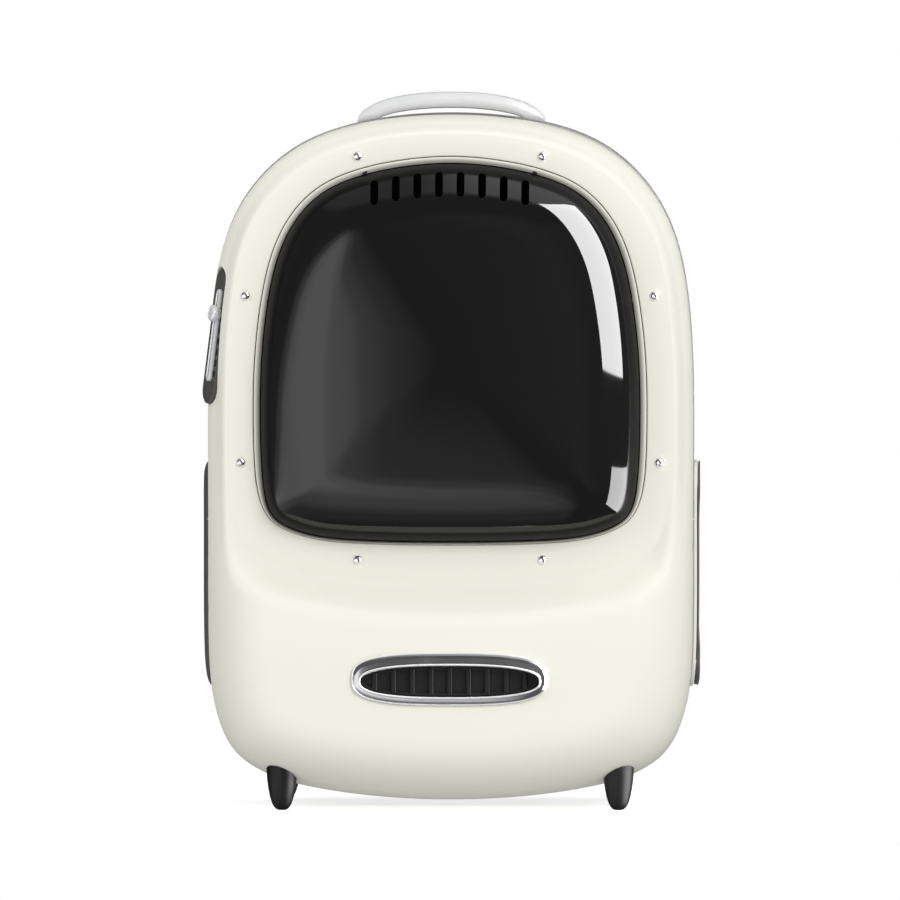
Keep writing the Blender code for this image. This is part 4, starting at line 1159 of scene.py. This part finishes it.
def make_rear_trims():
    path = keep_run(shell_ring(0, -30.0), lambda p: not (abs(p[0]) < 44 and p[2] > 300))
    section = [(-0.5, -4.6), (0.45, -4.4), (0.62, -4.1)]
    section += [(0.62 - (0.22 if k % 2 else 0), -4.1 + 0.585 * k) for k in range(1, 14)]
    section += [(0.62, 4.1), (0.45, 4.4), (-0.5, 4.6)]
    loops = [[point + out * a + np.array([0, b, 0]) for a, b in section]
             for point, out in zip(path, outward(path))]
    add_piece("ribbed_tape", loft(loops), "tape_plain", angle=20)
    piping = resample(shell_ring(2.55, PIPING_Y), 3.0, True)
    add_piece("side_piping", tube(piping, 1.5, 10, True), "binding")
    insets, depths = zip(*rear_profile())
    for name, offset in (("front", -4.2), ("rear", 4.6)):
        inset = np.interp(PIPING_Y + offset, depths, insets)
        add_piece(f"side_stitching_{name}", seam(shell_ring(inset - 0.05, PIPING_Y + offset)), "thread")


# ---------------------------------------------------------------- handle and feet

def make_handle():
    low, high = span_of("handle_grip")
    half = (high.x - low.x) / 2
    foot = shell_top(half) + 1.5
    reach = 46.0
    rest = shell_top(reach) + GAP
    steps = 48
    rows = []
    for k in range(-steps, steps + 1):
        share = math.sin(k / steps * math.pi / 2)
        x = half * share
        top = foot + (high.z - foot) * (1 - abs(share) ** 2.3) ** (1 / 1.9)
        if abs(x) < reach:
            under = rest + (445.0 - rest) * math.sqrt(1 - (x / reach) ** 2) ** 1.3
        else:
            under = shell_top(abs(x)) + GAP
        under = min(under, top - 0.4)
        tall = top - under
        edge = min(2.2, tall * 0.45)
        front = [(edge, 0), (0.4 * edge, 0.25 * edge), (0, edge), (0, 0.52 * tall), (0.35, 0.60 * tall),
                 (1.6, 0.84 * tall), (3.2, 0.97 * tall), (6.0, tall)]
        back = [(6.0, tall), (2.4, 0.95 * tall), (0.5, 0.75 * tall), (0, 0.5 * tall), (0, edge),
                (0.4 * edge, 0.25 * edge), (edge, 0)]
        rows.append([(x, low.y + y, under + z) for y, z in front]
                    + [(x, high.y - y, under + z) for y, z in back])
    add_piece("handle_moulding", loft(rows), "silver_grey", "carrier", ["handle_grip"], angle=30)
    low, high = span_of("handle_cup")
    bowl = [(0, low.z), (0, high.z), (1.8, high.z), (2.2, high.z - 0.6), (3.5, low.z + 8), (6, low.z + 3.4),
            (11, low.z + 2.1), (18, low.z + 2)]
    dish = stack(bowl, (high.x - low.x, high.y - low.y), 12, (0, (low.y + high.y) / 2))
    add_piece("handle_dish", dish, "grey_plastic", "carrier", ["handle_cup"])


def make_feet():
    """Tapered pegs, cut off where they meet the shells."""
    profile = [(0, 0), (1.8, 0), (3.4, 0.5), (5.0, 1.9), (6.4, 4.6), (7.7, 8.8), (8.7, 14), (9.5, 20),
               (9.9, 27), (10.1, 34), (0, 34)]
    front_body = loft([row[::2] for row in front_surface(GAP)[3:]])
    rear_body = loft([shell_ring(inset - GAP, y)[::2] for inset, y in REAR_SECTION])
    for place, body in (("front", front_body), ("rear", rear_body)):
        for name in ("left", "right"):
            low, high = span_of(f"foot_{place}_{name}")
            centre = (math.copysign(FOOT_X, low.x + high.x), FOOT_Y[place], 0)
            foot = new_object(f"peg_{place}_{name}", placed(lathe(profile, 48), centre), "rubber")
            cut(foot, body)
            settle(foot, "carrier", [f"foot_{place}_{name}"])


# ---------------------------------------------------------------- back door and zip

def at_hinge(point):
    return point[0] < -118 and 96 < point[2] < 292


def zip_tooth(point, ahead, out):
    """A tooth that widens from its root and reaches across the gap in direction out."""
    low = point - out * 0.75
    high = point + out * 1.55
    rows = []
    for place, half, tall in ((low, 0.42, 0.55), (low + (high - low) * 0.35, 0.5, 0.75), (high, 0.34, 0.6)):
        rows.append([place + ahead * half * a + np.array([0, tall * b, 0])
                     for a, b in ((1, -1), (1, 1), (-1, 1), (-1, -1))])
    return loft(rows)


def make_back_door():
    section = [(70, -2.6), (1, -2.6), (0.3, -2.2), (0, -1.4), (0, -0.3), (0.4, 0.3), (1.6, 0.75), (4, 1.0),
               (12, 1.15), (30, 1.2), (70, 1.2)]
    panel = loft(shell_rows(section, REAR_Y, DOOR_INSET + 0.7))
    add_piece("door_panel", panel, "door_fabric", "rear_door", ["back_door"], angle=50)
    tapes = {"shell": [(23.9, 0.25), (23.9, 0.8), (19.6, 0.55), (18.6, 0.3), (18.6, -0.4)],
             "door": [(25.0, 0.4), (25.0, 1.05), (29.6, 1.75), (30.6, 1.6), (30.6, 0.9)]}
    bodies = {"shell": "carrier", "door": "rear_door"}
    for name, tape in tapes.items():
        add_piece(f"zip_tape_{name}", loft(shell_rows(tape, REAR_Y), wrap=True), "binding", bodies[name])
    for name, inset, rise in (("shell", 21.4, 0.68), ("door", 28.4, 1.6)):
        thread = stitches(shell_ring(inset, REAR_Y + rise), BACK, True)
        add_piece(f"zip_stitching_{name}", thread, "thread", bodies[name])
    path = resample(shell_ring(24.4, REAR_Y + 0.95), 1.25, True)
    teeth = {"shell": [], "door": []}
    for k, (point, ahead, away) in enumerate(zip(path, headings(path, True), outward(path))):
        if not at_hinge(point):
            out = np.cross(ahead, BACK)
            out *= math.copysign(1, np.dot(out, away))
            name, sign = (("shell", 1), ("door", -1))[k % 2]
            teeth[name].append(zip_tooth(point, ahead, out * sign))
    for name, row in teeth.items():
        add_piece(f"zip_teeth_{name}", join(row), "black_plastic", bodies[name])
    rows = []
    for k in range(17):
        x = -137.2 + 11.6 * k / 16
        y = REAR_Y + 1.3 + 0.5 * math.sin(math.pi * k / 16)
        half = 88 - 3.0 * abs(k - 8) / 8
        rows.append([(x, y + deep, 190 + half * end)
                     for deep, end in ((0, -1), (0.9, -1), (0.9, 1), (0, 1))])
    hinge = new_object("hinge_gusset", loft(rows), "binding")
    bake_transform(hinge)


def make_zip_pull():
    low, high = span_of("zip_slider")
    x, y, z = (low.x + high.x) / 2, low.y + 2.0, (low.z + high.z) / 2
    outline = [(-4.5, -5.4), (-4.1, -6), (4.1, -6), (4.5, -5.4), (3.9, 0), (3.2, 5.4), (2.6, 6), (-2.6, 6),
               (-3.2, 5.4), (-3.9, 0)]
    rows = [[(x + a * share, y + b, z + c * share) for a, c in outline]
            for share, b in ((0.86, -2.0), (1.0, -1.6), (1.0, -0.5), (0.78, -0.45), (0.78, 0.1), (1.0, 0.15),
                             (1.0, 1.1), (0.84, 1.6))]
    arch = [(1.2, 4.7), (4.2, 4.5), (6.2, 3.0), (6.75, 0), (6.2, -3.0), (4.2, -4.5), (1.2, -4.7)]
    bridge = tube(smooth_path([(x, y + out, z + up) for out, up in arch], 28), 0.8, out=(1, 0, 0))
    add_piece("zip_slider_body", join([loft(rows), bridge]), "steel", "zipper", ["zip_slider"], angle=30)
    y, top = ZIP_AXIS
    turns = np.linspace(0, 2 * math.pi, 28, endpoint=False)
    loop = [(x + 2.5 * math.sin(t), y, top - 3.4 + 3.4 * math.cos(t)) for t in turns]
    add_piece("zip_pull_ring", tube(loop, 0.6, 8, True), "steel", "zipper_pull")
    octagon = [(-1, -0.5), (-0.7, -1), (0.7, -1), (1, -0.5), (1, 0.5), (0.7, 1), (-0.7, 1), (-1, 0.5)]
    rows = []
    for k in range(25):
        drop = 5.7 + 19.7 * k / 24
        wide = 2.4 + 1.1 * math.sin(math.pi * min(k / 20, 1)) - (0.9 if k > 22 else 0)
        deep = 0.62 + (0.2 if k % 3 else -0.08)
        rows.append([(x + wide * a, y + deep * b, top - drop) for a, b in octagon])
    add_piece("zip_pull_grip", loft(rows), "rubber", "zipper_pull", ["zip_pull"])


# ---------------------------------------------------------------- padded back and straps

def swell(obj, pressure, cap, axis=1, voxel=4.0):
    """Blow a closed shape up like a filled cushion with a short cloth simulation."""
    frames = 20
    sideways = 0.9
    mod = obj.modifiers.new("even", "REMESH")
    mod.mode = "VOXEL"
    mod.voxel_size = voxel * MM
    bake(obj)
    rest = np.array([v.co for v in obj.data.vertices])
    mod = obj.modifiers.new("swell", "CLOTH")
    mod.settings.use_pressure = True
    mod.settings.uniform_pressure_force = pressure
    mod.settings.effector_weights.gravity = 0
    mod.settings.quality = 6
    mod.settings.mass = 0.3
    mod.collision_settings.use_collision = False
    mod.point_cache.frame_start = 1
    mod.point_cache.frame_end = frames
    for step in range(1, frames + 1):
        bpy.context.scene.frame_set(step)
    bake(obj)
    limit = np.full(3, sideways * MM)
    limit[axis] = cap * MM
    moved = np.clip(np.array([v.co for v in obj.data.vertices]) - rest, -limit, limit)
    for vertex, start, shift in zip(obj.data.vertices, rest, moved):
        vertex.co = Vector(start + shift)
    bpy.context.scene.frame_set(1)
    mod = obj.modifiers.new("fine", "SUBSURF")
    mod.levels = 1
    bake(obj)
    obj.data.shade_smooth()


def make_back_pad():
    section = [(44, 1.4), (35.5, 1.5), (33.5, 2.4), (32.8, 4.0), (34, 5.4), (37, 6.0), (60, 6.3), (80, 6.4)]
    base = add_piece("pad_base", loft(shell_rows(section, REAR_Y)), "dark_mesh", "rear_door", ["back_pad"],
                     angle=60)
    edge = resample(shell_ring(33.6, REAR_Y + 5.2), 3.0, True)
    add_piece("pad_binding", tube(edge, 1.3, 8, True), "binding", "rear_door")
    add_piece("pad_stitching", stitches(shell_ring(37.0, REAR_Y + 6.15), BACK, True), "thread", "rear_door")
    crown = [(3.0, 0.0), (0.6, 0.08), (0, 0.3), (0.5, 0.55), (3.0, 0.8), (8, 0.93), (16, 1.0)]
    for name, x, z, width, height, radius in CUSHIONS:
        steps = [(inset, REAR_Y + 5.6 + 6.6 * share) for inset, share in crown]
        shape = stack(steps, (width, height), radius, (x, z), "Y", 4, 7, 6)
        cushion = new_object(f"pad_cushion_{name}", shape, "dark_mesh")
        swell(cushion, 4.0, 5.0)
        for vertex in cushion.data.vertices:
            vertex.co.y = max(vertex.co.y, (REAR_Y + 5.2) * MM)
        settle(cushion, "rear_door")
        path = outline_path(width + 1.2, height + 1.2, radius + 0.6, (x, z), REAR_Y + 6.6)
        add_piece(f"pad_piping_{name}", tube(path, 0.95, 8, True), "binding", "rear_door")


def make_straps():
    for name, side in (("left", -1), ("right", 1)):
        make_shoulder_strap(name, side)
        make_adjuster(name, side)
        make_lower_webbing(name, side)
    steps = [(0.4, 0), (0, 3), (0, 8.2), (0.7, 9.6), (2.4, 10.3), (8, 10.6)]
    yoke = stack([(inset, PAD_FACE + rise) for inset, rise in steps], (132, 22), 6, (0, YOKE_Z), "Y",
                 2, 6, 12)
    add_piece("strap_yoke", yoke, "webbing", "rear_door")
    top = PAD_FACE + 10.3
    lines = [stitches(outline_path(126, 16.5, 3.5, (0, YOKE_Z), top + 0.1), BACK, True)]
    for x in (-34, 34):
        for turn in (-1, 1):
            lines.append(stitches([(x - 12, top + 0.35, YOKE_Z - 6.5 * turn),
                                   (x + 12, top + 0.35, YOKE_Z + 6.5 * turn)]))
    add_piece("yoke_stitching", join(lines), "thread", "rear_door")


def make_shoulder_strap(name, side):
    points = [(33, PAD_FACE + 3.4, 397), (34.5, PAD_FACE + 8.6, 386), (42, STRAP_Y - 4.5, 350),
              (52, STRAP_Y, 300), (59, STRAP_Y, 240), (65, STRAP_Y - 1.5, 190), (69, STRAP_Y - 5, 152)]
    path = smooth_path([(side * x, y, z) for x, y, z in points], 140)
    length = run_length(path)[-1]
    channels = [length * share for share in (0.17, 0.36, 0.55, 0.74)]

    def section(share):
        at = share * length
        pinch = 1 - 0.42 * sum(math.exp(-((at - c) / 2.6) ** 2) for c in channels)
        end = min(1, 0.45 + min(at, length - at) / 9)
        return strap_section(56 * (1 - 0.12 * (1 - end)), 9.0 * pinch * end, 9, 2.2)

    strap = add_piece(f"shoulder_strap_{name}_padded", band(path, section), "dark_mesh", "rear_door",
                      [f"shoulder_strap_{name}"], angle=60)
    ahead = headings(path)
    across = unit(np.array([1.0, 0, 0]) - ahead * ahead[:, :1])
    out = np.cross(across, ahead)
    out *= math.copysign(1, out[len(out) // 2, 1])
    edges = [tube(path + across * edge, 1.5) for edge in (-27.2, 27.2)]
    end = [path[-1] + across[-1] * a + ahead[-1] * 0.4 for a in np.linspace(-27.2, 27.2, 12)]
    edges.append(tube(end, 1.7))
    add_piece(f"strap_binding_{name}", join(edges), "binding", "rear_door")
    inner = slice(4, -3)
    line = path[inner] + out[inner] * 4.75
    web = add_piece(f"strap_ribbon_{name}", band(line, strap_section(25, 1.3, 5, 4)), "webbing", "rear_door")
    rows = [path + across * edge + out * 3.35 for edge in (-23.6, 23.6)]
    rows += [line + across[inner] * edge + out[inner] * 0.72 for edge in (-10.6, 10.6)]
    thread = join([stitches(resample(row, STITCH_PITCH / 8)) for row in rows])
    add_piece(f"strap_stitching_{name}", thread, "thread", "rear_door")


def make_adjuster(name, side):
    """Ladder lock with two slots, ribs that grip the webbing, and the loop up to the strap."""
    low, high = span_of(f"strap_adjuster_{name}")
    x, y, z = (low + high) / 2
    steps = [(0.9, -2.0), (0.2, -1.6), (0, -0.8), (0, 0.8), (0.2, 1.5), (0.9, 2.0)]
    shape = stack([(inset, y + rise) for inset, rise in steps], (32, 18), 3.5, (x, z), "Y", 3.5, 6)
    lock = new_object(f"ladder_lock_{name}", shape, "black_plastic")
    slots = [rounded_rectangle(26, 3.6, 1.2, (x, z + rise), 4) for rise in (-4.7, 3.2)]
    cut(lock, join([prism(slot, y - 6, y + 6) for slot in slots]))
    settle(lock, "rear_door", [f"strap_adjuster_{name}"])
    rib = [(1.3, -2.2), (2.35, -1.2), (2.35, 0.6), (1.3, 1.4)]
    ribs = [tube([(x - 11 + 2.75 * k, y + back, z + up) for back, up in rib], 0.55, 6, out=(1, 0, 0))
            for k in range(9)]
    add_piece(f"lock_ribs_{name}", join(ribs), "black_plastic", "rear_door")
    upper = smooth_path([(side * 68.6, STRAP_Y - 4.8, 157), (side * 69.6, STRAP_Y - 5.6, 150),
                         (x, y + 0.2, 142.6), (x, y - 0.2, 139.6)], 24)
    add_piece(f"strap_loop_{name}", band(upper, strap_section(25, 1.6, 5, 4)), "webbing", "rear_door")


def add_webbing(name, path, stands_for=()):
    web = add_piece(name, band(path, strap_section(25, 1.6, 5, 4)), "webbing", "rear_door", stands_for)


def make_lower_webbing(name, side):
    """The webbing from the ladder lock to its anchor patch, and the loose tail."""
    low, high = span_of(f"strap_adjuster_{name}")
    x, y, _ = (low + high) / 2
    lower = smooth_path([(x, y - 0.3, 131.4), (side * 71.5, y - 1.0, 124), (side * 76, STRAP_Y - 14, 105),
                         (side * 81.5, PAD_FACE + 7, 84), (side * 85, PAD_FACE + 1.4, 66)], 90)
    add_webbing(f"strap_webbing_{name}_woven", lower, [f"strap_webbing_{name}"])
    tail = smooth_path([(x, y + 1.0, 132.0), (x + side * 0.3, y + 3.4, 129.5), (x + side * 1.0, y + 4.2, 118),
                        (x + side * 2.2, y + 4.0, 100), (x + side * 3.2, y + 2.6, 82)], 50)
    add_webbing(f"strap_tail_{name}", tail)
    end = Vector(tail[-1])
    hem = [stitches([end + Vector((a, 0.85, rise)) for a in (-10.5, 10.5)]) for rise in (3.0, 10.5)]
    add_piece(f"tail_stitching_{name}", join(hem), "thread", "rear_door")
    anchor = (side * 85.6, 63.5)
    steps = [(inset, PAD_FACE + rise) for inset, rise in ((1.0, 0.2), (0, 0.7), (0, 1.5), (0.8, 2.0))]
    add_piece(f"strap_anchor_{name}", stack(steps, (31, 17), 3, anchor, "Y", 3, 5, 4), "webbing", "rear_door")
    thread = stitches(outline_path(25.5, 11.5, 2.2, anchor, PAD_FACE + 2.1), BACK, True)
    add_piece(f"anchor_stitching_{name}", thread, "thread", "rear_door")


# ---------------------------------------------------------------- side pocket and side hatch

def panel_loop(side, inset, height):
    """Rounded outline on the shell's side, at a height off it."""
    size = [high - low - 2 * inset for low, high in (PANEL_Y, PANEL_Z)]
    centre = (sum(PANEL_Y) / 2, sum(PANEL_Z) / 2)
    outline = rounded_rectangle(*size, max(PANEL_RADIUS - inset, 4), centre, 10, 12)
    return np.array([(side * min(shell_half_width(z) + GAP + height, HALF_WIDTH_LIMIT), y, z)
                     for y, z in outline])


def make_pocket():
    section = [(34, 0), (1, 0), (0.2, 0.25), (0, 0.8), (0.3, 1.5), (1.4, 2.4), (3.4, 3.1), (6.4, 3.6),
               (7.2, 3.65), (7.6, 3.35), (8.0, 3.3), (8.4, 3.35), (8.8, 3.7), (12, 3.82), (20, 3.92),
               (34, 3.95)]
    cover = loft([panel_loop(-1, *corner) for corner in section])
    add_piece("pocket_cover_shell", cover, "grey_plastic", "pocket_lid", ["pocket_cover"], angle=40)
    low, high = span_of("mode_button")
    middle = (low + high) / 2
    profile = [(0, 0.3), (1.6, 0.5), (3.0, 0.2), (3.5, -0.15), (4.2, -0.1), (4.75, 0.3), (5.0, 0.9),
               (5.0, 4.6), (0, 4.6)]
    add_piece("mode_button_cap", placed(lathe(profile, 40, "X"), (low.x, middle.y, middle.z)), "silver_grey",
              "fan_button", ["mode_button"])


def make_hatch():
    rim = [(0.6, 0), (0.1, 0.3), (0, 0.9), (0.1, 1.6), (0.6, 2.1), (1.3, 2.2), (15.6, 2.2), (16, 1.9),
           (16, 0)]
    frame_loops = [panel_loop(1, *corner) for corner in rim]
    add_piece("hatch_frame", loft(frame_loops, wrap=True), "ivory", "carrier", ["hatch_rim"], angle=40)
    face = 2.2 + GAP
    section = [(34, 0.3), (16.9, 0.3), (16.8, 0.6), (16.8, face), (1.1, face), (0.8, face + 0.2),
               (0.85, face + 0.5), (1.5, face + 0.8), (3.5, face + 0.95), (7.4, face + 0.95),
               (7.8, face + 0.65), (8.2, face + 0.65), (8.6, face + 0.95), (14, face + 0.95),
               (34, face + 0.7)]
    loops = [panel_loop(1, *corner) for corner in section]
    for loop, (_, height) in zip(loops, section):
        if height > face + 0.1:
            ends = smoothstep(np.abs(loop[:, 2] - sum(PANEL_Z) / 2), 38, 58)
            loop[:, 0] = np.minimum(loop[:, 0] + 2.2 * ends, HALF_WIDTH_LIMIT)
    add_piece("hatch_panel", loft(loops), "grey_plastic", "side_hatch", ["hatch_door"], angle=40)


# ---------------------------------------------------------------- inside

def make_mat():
    low, high = span_of("floor_mat")
    middle = ((low.x + high.x) / 2, (low.y + high.y) / 2)
    wide, deep = high.x - low.x, high.y - low.y
    steps = [(5, 0.4), (2.6, 1.6), (2.2, 4.0), (4.0, 6.2), (9, 7.6), (20, 8.3)]
    shape = stack([(inset, low.z + rise) for inset, rise in steps], (wide, deep), 30, middle, "Z", 8, 7, 8)
    mat = new_object("mat_cushion", shape, "mat_fabric")
    swell(mat, 3.0, 3.0, axis=2, voxel=4.5)
    for vertex in mat.data.vertices:
        x, y = vertex.co.x / MM, vertex.co.y / MM
        if vertex.co.z > (low.z + 3) * MM:
            for seam_line in (abs(x) - 28, y - middle[1] + 40, y - middle[1] - 40):
                vertex.co.z -= 1.5 * MM * math.exp(-(seam_line / 3.0) ** 2)
        vertex.co.z = max(vertex.co.z, low.z * MM)
    settle(mat, "carrier", ["floor_mat"])
    edge = rounded_rectangle(wide - 2.2, deep - 2.2, 29, middle)
    path = resample([(x, y, low.z + 4.2) for x, y in edge], 3.0, True)
    add_piece("mat_piping", tube(path, 1.1, 8, True, out=(0, 0, 1)), "binding")


def make_lamp():
    low, high = span_of("led_diffuser")
    middle = ((low.x + high.x) / 2, (low.y + high.y) / 2)
    lens = [(0.4, high.z), (0, high.z - 0.4), (0, low.z + 0.7), (0.5, low.z + 0.15), (1.4, low.z)]
    add_piece("lamp_lens", stack(lens, (high.x - low.x, high.y - low.y), 5, middle), "diffuser", "carrier",
              ["led_diffuser"])
    low, high = span_of("led_housing")
    body = [(0, high.z), (0, low.z + 1.0), (0.3, low.z + 0.3), (1.0, low.z), (1.8, low.z), (2.0, low.z + 0.3),
            (3.0, low.z + 0.4)]
    add_piece("lamp_body", stack(body, (high.x - low.x, high.y - low.y), 7.5, middle), "silver_grey",
              "carrier", ["led_housing"])


# ---------------------------------------------------------------- finish

def carry_over():
    """CAD nodes that stay get the detailed materials."""
    slots = {part["node"]: part["material_slot"] for part in frame["record"]["subparts"]}
    for name, obj in frame["nodes"].items():
        finish = "door_fabric" if slots[name] == "grey_fabric" else slots[name]
        obj.data.materials.clear()
        obj.data.materials.append(MATERIALS[finish])


make_materials()
make_world()
make_camera()
make_lights()
make_floor()
carry_over()
make_front_shell()
make_lens()
make_window_trim()
make_screws()
make_front_vent()
make_side_vent()
make_rear_shell()
make_handle()
make_feet()
make_notches()
make_rear_trims()
make_back_door()
make_zip_pull()
make_pocket()
make_hatch()
make_lamp()
make_back_pad()
make_straps()
make_mat()
keep_softboxes_off_ivory()
